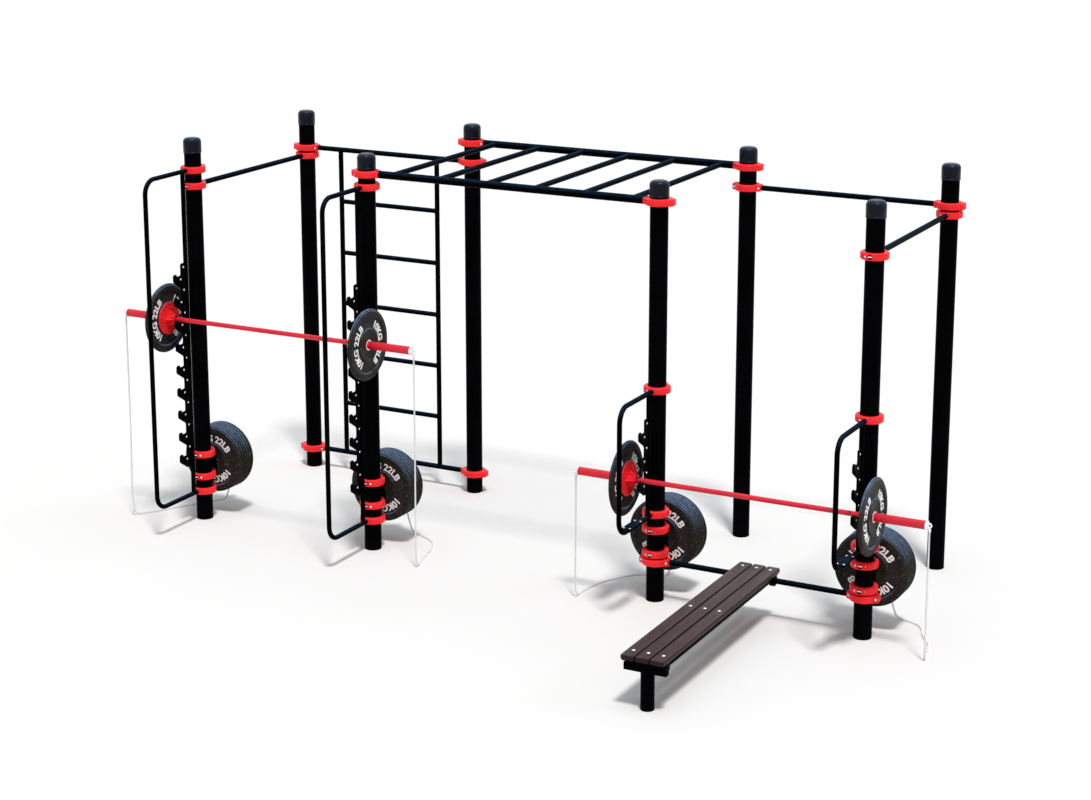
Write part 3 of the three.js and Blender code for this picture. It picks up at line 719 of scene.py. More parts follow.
@dataclass(frozen=True)
class Finish:
    """What every finish has: its name, its slot in the record, its colours and its skin."""

    name: str
    slot: str
    colour: Colour
    second_colour: Colour
    roughness: float
    roughness_spread: Limits = (0.9, 1.1)
    mottle_scale: float = 14.0
    mottle_share: float = 1.0
    skin_scale: float = 900.0
    skin_waves: float = 0.4
    relief: float = 0.35
    relief_height: float = 0.0004
    metallic: float = 0.0
    specular: float = 0.5
    specular_tint: Colour = (1.0, 1.0, 1.0)

    def material(self) -> bpy.types.Material:
        """Returns the finish's material, built on its first use."""
        known = bpy.data.materials.get(self.name)
        if known:
            return known
        material = bpy.data.materials.new(self.name)
        material.use_nodes = True
        material.diffuse_color = (*self.colour, 1)
        wiring = Wiring(material.node_tree)
        colour, roughness, height = self.layers(wiring, wiring.node("ShaderNodeTexCoord").outputs["Object"])
        bump = wiring.node("ShaderNodeBump", {
            "Height": height, "Strength": self.relief, "Distance": self.relief_height,
        })
        wiring.fill(material.node_tree.nodes["Principled BSDF"], {
            "Base Color": colour,
            "Metallic": self.metallic,
            "Roughness": roughness,
            "Specular IOR Level": self.specular,
            "Specular Tint": (*self.specular_tint, 1),
            "Normal": bump.outputs["Normal"],
        })
        return material

    def layers(self, wiring: Wiring, place: Socket) -> tuple[Socket, Socket, Socket]:
        """Adds the finish's own nodes and returns the colour, the roughness and the height."""
        raise NotImplementedError

    def mottled(self, wiring: Wiring, place: Socket) -> Outputs:
        """Mottles the first colour with the second.

        Args:
            wiring: The material's nodes.
            place: The place on the surface.

        Returns:
            The mottled colour and its mask.
        """
        return MOTTLE.use(wiring, {
            "Vector": place, "Colour": (*self.colour, 1), "Second Colour": (*self.second_colour, 1),
            "Scale": self.mottle_scale, "Share": self.mottle_share,
        })

    def skin(self, wiring: Wiring, place: Socket) -> Socket:
        """Returns the height of the finish's fine skin."""
        inputs = {"Vector": place, "Scale": self.skin_scale, "Waves": self.skin_waves}
        return COAT_TEXTURE.use(wiring, inputs)["Height"]

    def uneven(self, wiring: Wiring, mask: Socket) -> Socket:
        """Returns a roughness that changes with a mask."""
        least, most = self.roughness_spread
        return wiring.ranged(mask, 0.0, 1.0, self.roughness * least, self.roughness * most)


@dataclass(frozen=True)
class DustAndSheenFinish(Finish):
    """A finish with a film where it faces up: dust, or painted sky sheen and highlight, by the film's colour.
    """

    dust_and_sheen_colour: Colour = tone("a3a8ad")
    dust_and_sheen: float = 0.12

    def with_dust_and_sheen(self, wiring: Wiring, place: Socket, colour: Socket) -> Outputs:
        """Lays the film of dust or painted sheen over a colour and returns the result and the film's mask."""
        return DUST_AND_SHEEN.use(wiring, {
            "Vector": place, "Colour": colour, "Dust And Sheen Colour": (*self.dust_and_sheen_colour, 1), "Amount": self.dust_and_sheen,
        })


@dataclass(frozen=True)
class PaintedSteel(DustAndSheenFinish):
    """Powder coat on steel: a dimpled skin, hairline rubs and a film on what faces up, which is dust or a
    painted sheen or highlight by its colour.
    """

    roughness_spread: Limits = (0.85, 1.15)
    mottle_scale: float = 5.0
    skin_scale: float = 420.0
    skin_waves: float = 1.5
    relief: float = 0.25
    relief_height: float = 0.0006
    rubs: float = 0.05
    rub_scale: float = 9.0
    dust_and_sheen_roughness: float = 0.4

    def layers(self, wiring: Wiring, place: Socket) -> tuple[Socket, Socket, Socket]:
        """Layers mottle, rubs and the film of dust or painted sheen over the coat and dimples it."""
        mottle = self.mottled(wiring, place)
        rubs = SCUFFS.use(wiring, {"Vector": place, "Scale": self.rub_scale, "Amount": self.rubs})["Mask"]
        rubbed = wiring.blend(rubs, mottle["Colour"], (*self.dust_and_sheen_colour, 1))
        dust_and_sheen = self.with_dust_and_sheen(wiring, place, rubbed)
        uneven = self.uneven(wiring, mottle["Mask"])
        rough = wiring.math("MULTIPLY_ADD", dust_and_sheen["Mask"], self.dust_and_sheen_roughness, uneven)
        return dust_and_sheen["Colour"], rough, self.skin(wiring, place)


@dataclass(frozen=True)
class MouldedPlastic(DustAndSheenFinish):
    """Moulded plastic with a fine spark-eroded grain."""

    mottle_share: float = 0.8

    def layers(self, wiring: Wiring, place: Socket) -> tuple[Socket, Socket, Socket]:
        """Grains the plastic and lays the film of dust or painted sheen on it."""
        mottle = self.mottled(wiring, place)
        dust_and_sheen = self.with_dust_and_sheen(wiring, place, mottle["Colour"])
        return dust_and_sheen["Colour"], self.uneven(wiring, mottle["Mask"]), self.skin(wiring, place)


@dataclass(frozen=True)
class CrumbRubber(DustAndSheenFinish):
    """Pressed rubber crumb with sparse pale grains of two sizes."""

    roughness_spread: Limits = (0.9, 1.12)
    mottle_scale: float = 22.0
    skin_scale: float = 520.0
    skin_waves: float = 0.8
    relief: float = 0.45
    relief_height: float = 0.0009
    specular: float = 0.04
    specular_tint: Colour = (0.5, 0.75, 1.0)
    # The bluish film on what faces up is a painted sky highlight on the plates' rims, edges and beads.
    dust_and_sheen_colour: Colour = tone("88a9d4")
    dust_and_sheen: float = 0.6
    grain_colour: Colour = tone("c4c6ca")
    grain_strength: float = 0.75
    coarse_grain: tuple[float, float, float] = (260.0, 0.42, 0.017)
    fine_grain: tuple[float, float, float] = (560.0, 0.4, 0.0085)
    grain_relief: float = 0.5

    def layers(self, wiring: Wiring, place: Socket) -> tuple[Socket, Socket, Socket]:
        """Sows the grains, which are given as scale, size and share, lays the painted sky highlight on what
        faces up and roughens the rubber.
        """
        mottle = self.mottled(wiring, place)
        coarse, fine = (
            FLECKS.use(wiring, {"Vector": place, "Scale": scale, "Size": size, "Share": share})
            for scale, size, share in (self.coarse_grain, self.fine_grain)
        )
        both = wiring.math("MAXIMUM", coarse["Mask"], fine["Mask"])
        pale = wiring.math("MULTIPLY", both, self.grain_strength)
        sown = wiring.blend(pale, mottle["Colour"], (*self.grain_colour, 1))
        relief = wiring.math("MULTIPLY_ADD", fine["Relief"], self.grain_relief, self.skin(wiring, place))
        return self.with_dust_and_sheen(wiring, place, sown)["Colour"], self.uneven(wiring, mottle["Mask"]), relief


@dataclass(frozen=True)
class StainedPlank(DustAndSheenFinish):
    """Stained board with its grain along Y."""

    roughness_spread: Limits = (1.0, 1.25)
    mottle_scale: float = 34.0
    relief: float = 0.5
    relief_height: float = 0.0007
    specular: float = 0.1
    specular_tint: Colour = (0.78, 0.86, 1.0)
    dust_and_sheen_colour: Colour = tone("6c6a7a")
    dust_and_sheen: float = 0.2
    streak_colour: Colour = tone("6a4d47")
    streak_scale: float = 95.0
    streak_stretch: float = 0.06
    streak_edges: Limits = (0.5, 0.72)
    streak_strength: float = 0.75
    pore_colour: Colour = tone("20150f")
    pore_scale: float = 420.0
    pore_stretch: float = 0.02
    pore_edges: Limits = (0.58, 0.66)
    pore_strength: float = 0.55
    pore_depth: float = 0.8
    # How far the sides and eased edges are darkened, as painted shade, and over which slopes.
    edge_slopes: Limits = (0.75, 0.995)
    edge_shade: float = 0.75

    def layers(self, wiring: Wiring, place: Socket) -> tuple[Socket, Socket, Socket]:
        """Draws long streaks, pores and a bluish-grey film on the tops along the board, and darkens its sides
        and eased edges with painted shade.
        """
        along = wiring.stretched(place, self.streak_stretch)
        streak = wiring.ranged(wiring.noise(along, self.streak_scale, 6.0, 0.62), *self.streak_edges)
        strength = wiring.math("MULTIPLY", streak, self.streak_strength)
        streaked = wiring.blend(strength, self.mottled(wiring, along)["Colour"], (*self.streak_colour, 1))
        narrow = wiring.stretched(place, self.pore_stretch)
        pore = wiring.ranged(wiring.noise(narrow, self.pore_scale, 3.0, 0.6), *self.pore_edges)
        strength = wiring.math("MULTIPLY", pore, self.pore_strength)
        pored = wiring.blend(strength, streaked, (*self.pore_colour, 1))
        # Faces that tilt from straight up, the board's sides and eased edges, are darkened towards the pore
        # colour: painted shade.
        edge = wiring.ranged(wiring.upwards(), *self.edge_slopes, self.edge_shade, 0.0)
        stained_and_edge_shaded = wiring.blend(edge, self.with_dust_and_sheen(wiring, place, pored)["Colour"], (*self.pore_colour, 1))
        relief = wiring.math("MULTIPLY_ADD", pore, -self.pore_depth, streak)
        return stained_and_edge_shaded, self.uneven(wiring, streak), relief


@dataclass(frozen=True)
class ZincSteel(Finish):
    """Zinc-plated steel with faint cloudy plating."""

    roughness_spread: Limits = (0.8, 1.2)
    mottle_scale: float = 90.0
    skin_scale: float = 1400.0
    skin_waves: float = 0.5
    relief: float = 0.15
    relief_height: float = 0.0003
    metallic: float = 0.4
    rubs: float = 0.5
    rub_scale: float = 40.0
    rub_roughness: float = 0.3

    def layers(self, wiring: Wiring, place: Socket) -> tuple[Socket, Socket, Socket]:
        """Clouds the plating and draws fine turning marks."""
        mottle = self.mottled(wiring, place)
        rubs = SCUFFS.use(wiring, {"Vector": place, "Scale": self.rub_scale, "Amount": self.rubs})["Mask"]
        rough = wiring.math("MULTIPLY_ADD", rubs, self.rub_roughness, self.uneven(wiring, mottle["Mask"]))
        return mottle["Colour"], rough, self.skin(wiring, place)


# The films on what faces up: bluish on the black coat, the caps and the rubber, a painted sky sheen and
# highlight; lighter red on the red coats, a painted highlight; bluish grey on the planks; pale grey dust on
# the cable sheath and the markings.
BLACK_COAT = PaintedSteel("black powder coat", "powder_black", tone("030304"), tone("060608"), 0.24,
                          specular=0.005, specular_tint=(0.55, 0.78, 1.0), dust_and_sheen_colour=tone("152f46"),
                          dust_and_sheen=0.72, rubs=0.02)
CLAMP_RED = PaintedSteel("clamp red coat", "clamp_red", tone("f82229"), tone("ff2d33"), 0.42,
                         specular=0.16, dust_and_sheen_colour=tone("ff8f8f"), dust_and_sheen=0.05)
BAR_RED = PaintedSteel("crimson bar coat", "bar_red", tone("d3172c"), tone("de1f35"), 0.28,
                       specular=0.3, dust_and_sheen_colour=tone("f2889a"), dust_and_sheen=0.06, rubs=0.06)
CAP_PLASTIC = MouldedPlastic("cap plastic", "cap_grey", tone("070d18"), tone("0b131f"), 0.3,
                             specular=0.12, dust_and_sheen_colour=tone("284a6b"), dust_and_sheen=0.34)
RUBBER = CrumbRubber("crumb rubber", "plate_rubber", tone("272420"), tone("2f2b28"), 0.4)
PLANK = StainedPlank("stained plank", "plank_brown", tone("432d27"), tone("311f1b"), 0.36)
ZINC = ZincSteel("zinc-plated steel", "zinc_steel", tone("f8fafc"), tone("eceff3"), 0.28)
CABLE_SHEATH = MouldedPlastic("cable sheath", "cable_white", tone("e9e9ea"), tone("dcdcdd"), 0.45,
                              dust_and_sheen=0.1, skin_scale=300.0)
MARKING = MouldedPlastic("raised marking", "marking_white", tone("ffffff"), tone("f6f6f8"), 0.5, dust_and_sheen=0.02)


def put(shape: Shape, name: str, finish: Finish, body: Optional[str] = "root",
        stands_for: Iterable[str] = (), crease: float = 34.0) -> bpy.types.Object:
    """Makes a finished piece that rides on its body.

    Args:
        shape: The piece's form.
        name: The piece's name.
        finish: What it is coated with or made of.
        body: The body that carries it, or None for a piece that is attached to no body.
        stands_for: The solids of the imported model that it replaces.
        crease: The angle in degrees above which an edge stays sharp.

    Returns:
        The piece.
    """
    mesh = shape.to_mesh(name)
    shape.bm.free()
    mesh.shade_smooth()
    mesh.set_sharp_from_angle(angle=math.radians(crease))
    piece = add_object(name, mesh)
    mesh.materials.append(finish.material())
    if body is not None:
        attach(piece, body)
    nodes = list(stands_for)
    if nodes:
        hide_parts(*nodes)
    log.info("%s: %d faces, %s", name, len(mesh.polygons), finish.name)
    return piece


def span(node: str) -> tuple[Vector, Vector, Vector]:
    """Returns the lowest corner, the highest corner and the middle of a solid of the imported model."""
    low, high = (Vector(corner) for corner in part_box(node))
    return low, high, (low + high) / 2


class Row(Enum):
    """The two rows of posts."""

    FRONT = "front"
    BACK = "back"


class Direction(Enum):
    """The way that a clamp's ears point."""

    ALONG_ROW = "along the row"
    ACROSS = "from row to row"


class Front(Enum):
    """What the front of a clamp is like."""

    EAR = "an ear, like its back"
    PLUGGED = "a plain ring that a tube plugs into"
    FREE = "a plain ring with an empty tube seat"


class Heads(Enum):
    """Where the bolts in a clamp's ears have heads or nuts, as each one's ear and face."""

    FRONT = ((1, -1), (-1, -1))
    SPLIT = ((1, -1), (-1, 1))
    BACK = ((1, 1), (-1, 1))
    THROUGH = ((-1, -1), (-1, 1))


@dataclass
class Layout:
    """Where the posts and the bays stand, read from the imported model."""

    columns: list[float] = field(default_factory=list)
    rows: dict[Row, float] = field(default_factory=dict)

    def __post_init__(self) -> None:
        """Reads the middles of the posts."""
        for column in range(1, 5):
            self.columns.append(span(f"post_front_{column}")[2].x)
        for row in Row:
            self.rows[row] = span(f"post_{row.value}_1")[2].y

    def post(self, row: Row, column: int) -> Vector:
        """Returns the foot of a post; the columns count from 1."""
        return Vector((self.columns[column - 1], self.rows[row], 0))


@dataclass(frozen=True)
class Sun:
    """A distant lamp. Where it stands and how wide it looks are told in degrees."""

    name: str
    strength: float
    azimuth: float
    elevation: float
    width: float
    colour: Colour

    def add(self) -> None:
        """Adds the lamp to the scene."""
        lamp = bpy.data.lights.new(self.name, "SUN")
        lamp.energy = self.strength
        lamp.angle = math.radians(self.width)
        lamp.color = self.colour
        holder = add_object(self.name, lamp)
        holder.rotation_mode = "QUATERNION"
        holder.rotation_quaternion = bearing(self.azimuth, self.elevation).to_track_quat("Z", "Y")


@dataclass
class Studio:
    """The camera, the floor and the light."""

    image_size: tuple[int, int] = (1091, 800)
    camera_place: tuple[float, float, float] = (6.418, -11.696, 4.898)
    azimuth: float = 27.64
    elevation: float = 13.05
    focal_pixels: float = 2290.2
    shift_y: float = -0.1
    sensor: float = 36.0
    view_depth: float = 100.0
    floor_size: float = 60.0
    floor_colour: Colour = (0.835, 0.825, 0.812)
    floor_roughness: float = 0.9
    floor_glow: float = 0.02
    world_colour: Colour = (1.0, 0.98, 0.96)
    world_strength: float = 0.4
    suns: tuple[Sun, ...] = (
        Sun("key", 2.3, 40, 67, 8, (1.0, 0.98, 0.96)),
        Sun("sky", 0.5, 20, 84, 40, (0.62, 0.8, 1.0)),
        Sun("side", 0.25, 112, 28, 24, (0.66, 0.82, 1.0)),
    )

    def set_camera(self) -> None:
        """Puts the camera at the photograph's viewing angle."""
        camera = add_object("camera", bpy.data.cameras.new("camera"))
        camera.location = self.camera_place
        camera.rotation_mode = "QUATERNION"
        ahead = -bearing(self.azimuth, self.elevation)
        camera.rotation_quaternion = ahead.to_track_quat("-Z", "Y")
        camera.data.sensor_width = self.sensor
        camera.data.lens = self.focal_pixels / self.image_size[0] * self.sensor
        camera.data.shift_y = self.shift_y
        camera.data.clip_end = self.view_depth
        bpy.context.scene.camera = camera

    def set_world(self) -> None:
        """Surrounds the object with soft light and a white background."""
        world = bpy.data.worlds.new("studio")
        bpy.context.scene.world = world
        world.use_nodes = True
        wiring = Wiring(world.node_tree)
        soft = world.node_tree.nodes["Background"]
        wiring.fill(soft, {"Color": (*self.world_colour, 1), "Strength": self.world_strength})
        white = wiring.node("ShaderNodeBackground", {"Color": (1, 1, 1, 1), "Strength": 1.0})
        mix = wiring.node("ShaderNodeMixShader", {
            0: wiring.background_rays(), 1: soft.outputs[0], 2: white.outputs[0],
        })
        wiring.fill(world.node_tree.nodes["World Output"], {0: mix.outputs[0]})

    def lay_floor(self) -> None:
        """Lays the white floor that takes the shadows."""
        half = self.floor_size / 2
        mesh = bpy.data.meshes.new("floor")
        corners = [(-half, -half, 0), (half, -half, 0), (half, half, 0), (-half, half, 0)]
        mesh.from_pydata(corners, [], [(0, 1, 2, 3)])
        floor = add_object("floor", mesh)
        material = bpy.data.materials.new("studio floor")
        material.use_nodes = True
        wiring = Wiring(material.node_tree)
        wiring.fill(material.node_tree.nodes["Principled BSDF"], {
            "Base Color": (*self.floor_colour, 1),
            "Roughness": self.floor_roughness,
            "Specular IOR Level": 0.0,
            "Emission Color": (1, 1, 1, 1),
            "Emission Strength": wiring.math("MULTIPLY", wiring.background_rays(), self.floor_glow),
        })
        mesh.materials.append(material)

    def light(self) -> None:
        """Sets the view transform, the world, the lamps and the floor."""
        bpy.context.scene.view_settings.view_transform = "Standard"
        self.set_world()
        for sun in self.suns:
            sun.add()
        self.lay_floor()


@dataclass
class SafetyCable:
    """A sheathed wire cable from a bar end to the eye of a storage peg."""

    label: str
    side: int
    post: Vector
    body: str
    shaft_level: float
    floor_points: Sequence[tuple[float, float]]
    radius: float = 0.005
    bend_radius: float = 0.055
    lean: float = 0.085
    fit: float = 0.0003
    end_eye_reach: float = 0.4353
    shaft_setback: float = 0.1933
    under_eye: float = 0.0153
    peg_eye_setback: float = 0.3543
    peg_level: float = 0.375
    slack_level: float = 0.42
    fall_shares: tuple[float, ...] = (1.0, 0.93, 0.5)
    climb_shares: tuple[float, ...] = (0.3, 0.65, 0.94, 1.0)
    steps_per_stretch: int = 8

    @property
    def low(self) -> float:
        """The level of the cable's centre line where it lies on the floor."""
        return self.radius + self.fit

    def corner(self, x: float, y: float, foot: tuple[float, float]) -> list[Vector]:
        """Bends an upright stretch towards its first or last point on the floor.

        Args:
            x: Where the stretch stands in X.
            y: Where it stands in Y.
            foot: That point on the floor.

        Returns:
            The two points of the bend, from the top.
        """
        heel = 1 - math.sqrt(0.5)
        low = self.low
        return [
            Vector((x, y, low + self.bend_radius)),
            Vector((x + (foot[0] - x) * heel, y + (foot[1] - y) * heel, low + self.bend_radius * heel)),
        ]

    def lean_at(self, share: float) -> float:
        """Returns how far the climbing stretch leans out at a share of its height."""
        return self.side * self.lean * (1 - share) ** 1.5

    def knots(self) -> list[Vector]:
        """Returns the points that the cable passes through, about the foot of its post."""
        low = self.low
        eye_x = self.side * self.end_eye_reach
        eye_y = -self.shaft_setback
        fall = self.shaft_level - self.under_eye - low
        climb = self.peg_level - self.under_eye - low
        first, last = self.floor_points[0], self.floor_points[-1]
        climb_x = self.lean_at(self.bend_radius / climb)
        return [
            *(Vector((eye_x, eye_y, low + share * fall)) for share in self.fall_shares),
            *self.corner(eye_x, eye_y, first),
            *(Vector((x, y, low)) for x, y in self.floor_points),
            *reversed(self.corner(climb_x, self.peg_eye_setback, last)),
            *(Vector((self.lean_at(s), self.peg_eye_setback, low + s * climb)) for s in self.climb_shares),
        ]

    def route(self) -> list[Vector]:
        """Returns the smooth line through the knots, in the row frame."""
        knots = self.knots()
        line = [2 * knots[0] - knots[1], *knots, 2 * knots[-1] - knots[-2]]
        points: list[Vector] = []
        for index in range(1, len(line) - 2):
            four = line[index - 1:index + 3]
            steps = [math.sqrt((b - a).length) for a, b in zip(four, four[1:])]
            rise = self.tangent(four[0], four[1], four[2], steps[0], steps[1]) * steps[1]
            fall = self.tangent(four[1], four[2], four[3], steps[1], steps[2]) * steps[1]
            for step in range(self.steps_per_stretch):
                points.append(self.hermite(four[1], four[2], rise, fall, step / self.steps_per_stretch))
        points.append(line[-2])
        return [self.post + Vector((p.x, p.y, max(p.z, self.low))) for p in points]

    @staticmethod
    def tangent(a: Vector, b: Vector, c: Vector, first: float, second: float) -> Vector:
        """Returns the slope at b of the centripetal curve through three points."""
        return (b - a) / first - (c - a) / (first + second) + (c - b) / second

    @staticmethod
    def hermite(start: Vector, end: Vector, rise: Vector, fall: Vector, share: float) -> Vector:
        """Returns a point of the cubic between two knots."""
        square, cube = share ** 2, share ** 3
        return (start * (2 * cube - 3 * square + 1) + rise * (cube - 2 * square + share)
                + end * (3 * square - 2 * cube) + fall * (cube - square))

    def build(self) -> None:
        path = self.route()
        name = f"safety_cable_{self.label}"
        cable = put(Shape().tube(path, self.radius, sides=16), name, CABLE_SHEATH, None,
                    [f"cable_{self.label}"])
        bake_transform(cable)


CABLE_FLOOR_POINTS: dict[str, list[tuple[float, float]]] = {
    "left_1": [
        (-0.412, -0.149), (-0.362, -0.064), (-0.3, 0.042), (-0.238, 0.145), (-0.184, 0.24), (-0.15, 0.298),
        (-0.121, 0.337),
    ],
    "left_2": [
        (0.424, -0.145), (0.4, -0.07), (0.377, 0.02), (0.358, 0.095), (0.336, 0.17), (0.298, 0.24),
        (0.24, 0.292), (0.18, 0.325), (0.13, 0.346),
    ],
    "right_3": [
        (-0.437, -0.143), (-0.435, -0.07), (-0.427, 0.01), (-0.41, 0.085), (-0.38, 0.158), (-0.342, 0.226),
        (-0.302, 0.288), (-0.252, 0.334), (-0.19, 0.358), (-0.133, 0.361),
    ],
    "right_4": [
        (0.421, -0.145), (0.402, -0.085), (0.396, -0.02), (0.376, 0.05), (0.334, 0.12), (0.294, 0.188),
        (0.27, 0.252), (0.234, 0.306), (0.184, 0.338), (0.132, 0.352),
    ],
}


@dataclass
class Post:
    """A round post with its moulded cap."""

    row: Row
    column: int
    chamfer: float = 0.0015
    cap_wall: float = 0.0035
    seat_depth: float = 0.0603
    dome_rise: float = 0.030
    dome_fullness: float = 0.42
    lip: float = 0.011
    neck_depth: float = 0.0009
    crown_inset: float = 0.0003
    sides: int = 72

    def build(self) -> None:
        """Makes the post and the cap in the places of their solids."""
        label = f"{self.row.value}_{self.column}"
        low, high, middle = span(f"post_{label}")
        foot = Matrix.Translation((middle.x, middle.y, 0))
        tube = Shape().pin((high.x - low.x) / 2, high.z, foot, self.chamfer, self.sides)
        put(tube, f"post_tube_{label}", BLACK_COAT, stands_for=[f"post_{label}"])
        self.build_cap(label)

    def build_cap(self, label: str) -> None:
        """Makes the cap: a skirt with a lip, a soft shoulder and a shallow dome.

        Args:
            label: The post's label.
        """
        low, high, middle = span(f"post_cap_{label}")
        radius = (high.x - low.x) / 2
        bore, neck, crown = radius - self.cap_wall, radius - self.neck_depth, radius - self.crown_inset
        height = high.z - low.z
        shoulder = height - self.dome_rise
        profile = [
            (0.0, self.seat_depth), (bore, self.seat_depth), (bore, 0.0), (radius - self.chamfer, 0.0),
            (radius, self.chamfer), (radius, self.lip - 0.001), (neck, self.lip),
            (neck, self.lip + 0.0015), (crown, self.lip + 0.0025),
        ]
        steps = 18
        for step in range(steps):
            angle = QUARTER_TURN * step / steps
            reach = crown * math.cos(angle) ** self.dome_fullness
            profile.append((reach, shoulder + self.dome_rise * math.sin(angle)))
        profile.append((0.0, height))
        place = Matrix.Translation((middle.x, middle.y, low.z))
        put(Shape().lathe(profile, place, self.sides), f"post_cap_shell_{label}", CAP_PLASTIC,
            stands_for=[f"post_cap_{label}"])


@dataclass
class ClampedWork:
    """The shapes of a sub-assembly that clamps hold: black steel with painted shade in the clamps' holes, red
    castings and zinc fixings.
    """

    steel: Shape = field(default_factory=Shape)
    castings: Shape = field(default_factory=Shape)
    bolts: Shape = field(default_factory=Shape)

    def weld_tube(self, start: Vector, end: Vector, axis: Vector, radius: float, carrier: Vector,
                  carrier_radius: float) -> None:
        """Adds a tube that is welded at both ends to the tubes that carry it.

        Args:
            start: Where its centre line starts, on that of a carrier.
            end: Where its centre line ends.
            axis: The way from start to end.
            radius: Its radius.
            carrier: The way that the carriers run.
            carrier_radius: Their radius.
        """
        self.steel.tube([start, end], radius)
        for point, away in ((start, axis), (end, -axis)):
            self.steel.saddle_weld(point, away, carrier, radius, carrier_radius)

    def put(self, node: str, prefix: str, suffix: str = "", steel: str = "tubes") -> None:
        """Makes the three pieces.

        Args:
            node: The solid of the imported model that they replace.
            prefix: What their names start with.
            suffix: What their names end with.
            steel: What the black steel is called between the two.
        """
        for word, shape, finish in ((steel, self.steel, BLACK_COAT), ("clamps", self.castings, CLAMP_RED),
                                    ("bolts", self.bolts, ZINC)):
            put(shape, f"{prefix}_{word}{suffix}", finish, stands_for=[node])


@dataclass
class ClampPattern:
    """The cast clamp: two half shells that are bolted together through their ears.

    A front without an ear has a seat for the end of a tube, with a bolt on one side. Where the
    seat is empty, the pin that would hold the tube shows in it, with a sunk screw beside it.
    """

    ring_radius: float = 0.081
    bore: float = 0.0543
    ear_reach: float = 0.0978
    ear_half_width: float = 0.033
    squareness: float = 6.0
    blend: float = 16.0
    half_height: float = 0.0208
    edge_round: float = 0.0085
    gap: float = 0.0016
    bolt_reach: float = 0.0805
    bolt_radius: float = 0.0082
    counterbore: float = 0.0108
    counterbore_floor: float = 0.0262
    seat_radius: float = 0.0142
    seat_depth: float = 0.0178
    seat_lip: float = 0.0014
    pin_radius: float = 0.0048
    pin_depth: float = 0.0068
    bolt_height: float = 0.0056
    nut_radius: float = 0.0078
    front_bolt_turn: float = math.radians(24)
    front_bolt_radius: float = 0.0072
    front_bolt_height: float = 0.0046
    front_counterbore: float = 0.0094
    front_counterbore_depth: float = 0.0042
    screw_radius: float = 0.0036
    screw_hole: float = 0.0056
    screw_depth: float = 0.0075
    # The dark discs on the floors of the bolt holes are painted shade; this is their thickness.
    washer: float = 0.0006
    overlap: float = 0.0002
    sides: int = 144
    castings: dict[tuple[Front, Heads], bpy.types.Mesh] = field(default_factory=dict)

    def reach(self, angle: float, front_ear: bool) -> float:
        """Returns how far the outline lies from the post's axis at an angle from the front.

        Args:
            angle: The angle.
            front_ear: Whether the front has an ear.

        Returns:
            The distance.
        """
        if not front_ear and math.cos(angle) > 0:
            return self.ring_radius
        across = abs(math.sin(angle)) / self.ear_half_width
        along = abs(math.cos(angle)) / self.ear_reach
        ear = (along ** self.squareness + across ** self.squareness) ** (-1 / self.squareness)
        return min((ear ** self.blend + self.ring_radius ** self.blend) ** (1 / self.blend), self.ear_reach)

    def body(self, front_ear: bool) -> Shape:
        """Returns the uncut casting, its front along X.

        Args:
            front_ear: Whether the front has an ear.

        Returns:
            The casting.
        """
        angles = turns(self.sides)
        rim = []
        rounds = 5
        for step in range(rounds + 1):
            turn = QUARTER_TURN * step / rounds
            rim.append((self.edge_round * (1 - math.sin(turn)),
                        -self.half_height + self.edge_round * (1 - math.cos(turn))))
        rim += [(inset, -height) for inset, height in reversed(rim)]
        rings = []
        for inset, height in rim:
            rings.append([polar(self.reach(a, front_ear) - inset, a, height) for a in angles])
        ease = 0.0015
        edge = self.half_height
        for radius, height in ((self.bore + ease, edge), (self.bore, edge - ease),
                               (self.bore, ease - edge), (self.bore + ease, -edge)):
            rings.append([polar(radius, angle, height) for angle in angles])
        return Shape().loft(rings, looped=True)

    def front_holes(self, front: Front) -> list[tuple[Vector, Vector, float]]:
        """Returns the hole of the front bolt, and by an empty seat that of the screw.

        Args:
            front: What the front is like.

        Returns:
            The floor of each hole, the way that it faces and its radius.
        """
        holes = [(-self.front_bolt_turn, self.front_counterbore_depth, self.front_counterbore)]
        if front is Front.FREE:
            holes.append((self.front_bolt_turn, self.screw_depth, self.screw_hole))
        return [
            (polar(1, turn) * (self.ring_radius - depth), polar(1, turn), radius)
            for turn, depth, radius in holes
        ]

    def ear_seats(self, heads: Heads) -> list[tuple[Vector, Vector]]:
        """Returns the seats in the ears' faces and the ways that they face."""
        return [
            (Vector((ear * self.bolt_reach, face * self.counterbore_floor, 0)), Y_AXIS * face)
            for ear, face in heads.value
        ]

    def cutters(self, front: Front, heads: Heads) -> Shape:
        """Returns what is cut from the casting: the split, the bolt seats and the tube seat.

        Args:
            front: What the front is like.
            heads: Where the heads and nuts are.

        Returns:
            The forms to take away.
        """
        front_ear = front is Front.EAR
        cut = Shape()
        beyond = 0.04
        tall = self.half_height + 0.01
        for side in (-1, 1) if front_ear else (-1,):
            low, high = sorted((side * (self.bore - 0.002), side * (self.ear_reach + 0.02)))
            cut.box((low, -self.gap / 2, -tall), (high, self.gap / 2, tall), bevel=0)
        for seat, way in self.ear_seats(heads):
            cut.pin(self.counterbore, beyond, facing(seat, way))
        if not front_ear:
            floor = Vector((self.ring_radius - self.seat_depth, 0, 0))
            cut.pin(self.seat_radius, beyond, facing(floor, X_AXIS), sides=40)
            for seat, way, radius in self.front_holes(front):
                cut.pin(radius, beyond, facing(seat, way))
        return cut

    def casting(self, front: Front, heads: Heads) -> bpy.types.Mesh:
        """Returns the casting of one kind, which is made once.

        Args:
            front: What the front is like.
            heads: Where the heads and nuts are.

        Returns:
            The cut mesh, its front along X.
        """
        kind = (front, heads)
        if kind not in self.castings:
            self.castings[kind] = carved(self.body(front is Front.EAR), self.cutters(front, heads))
        return self.castings[kind]

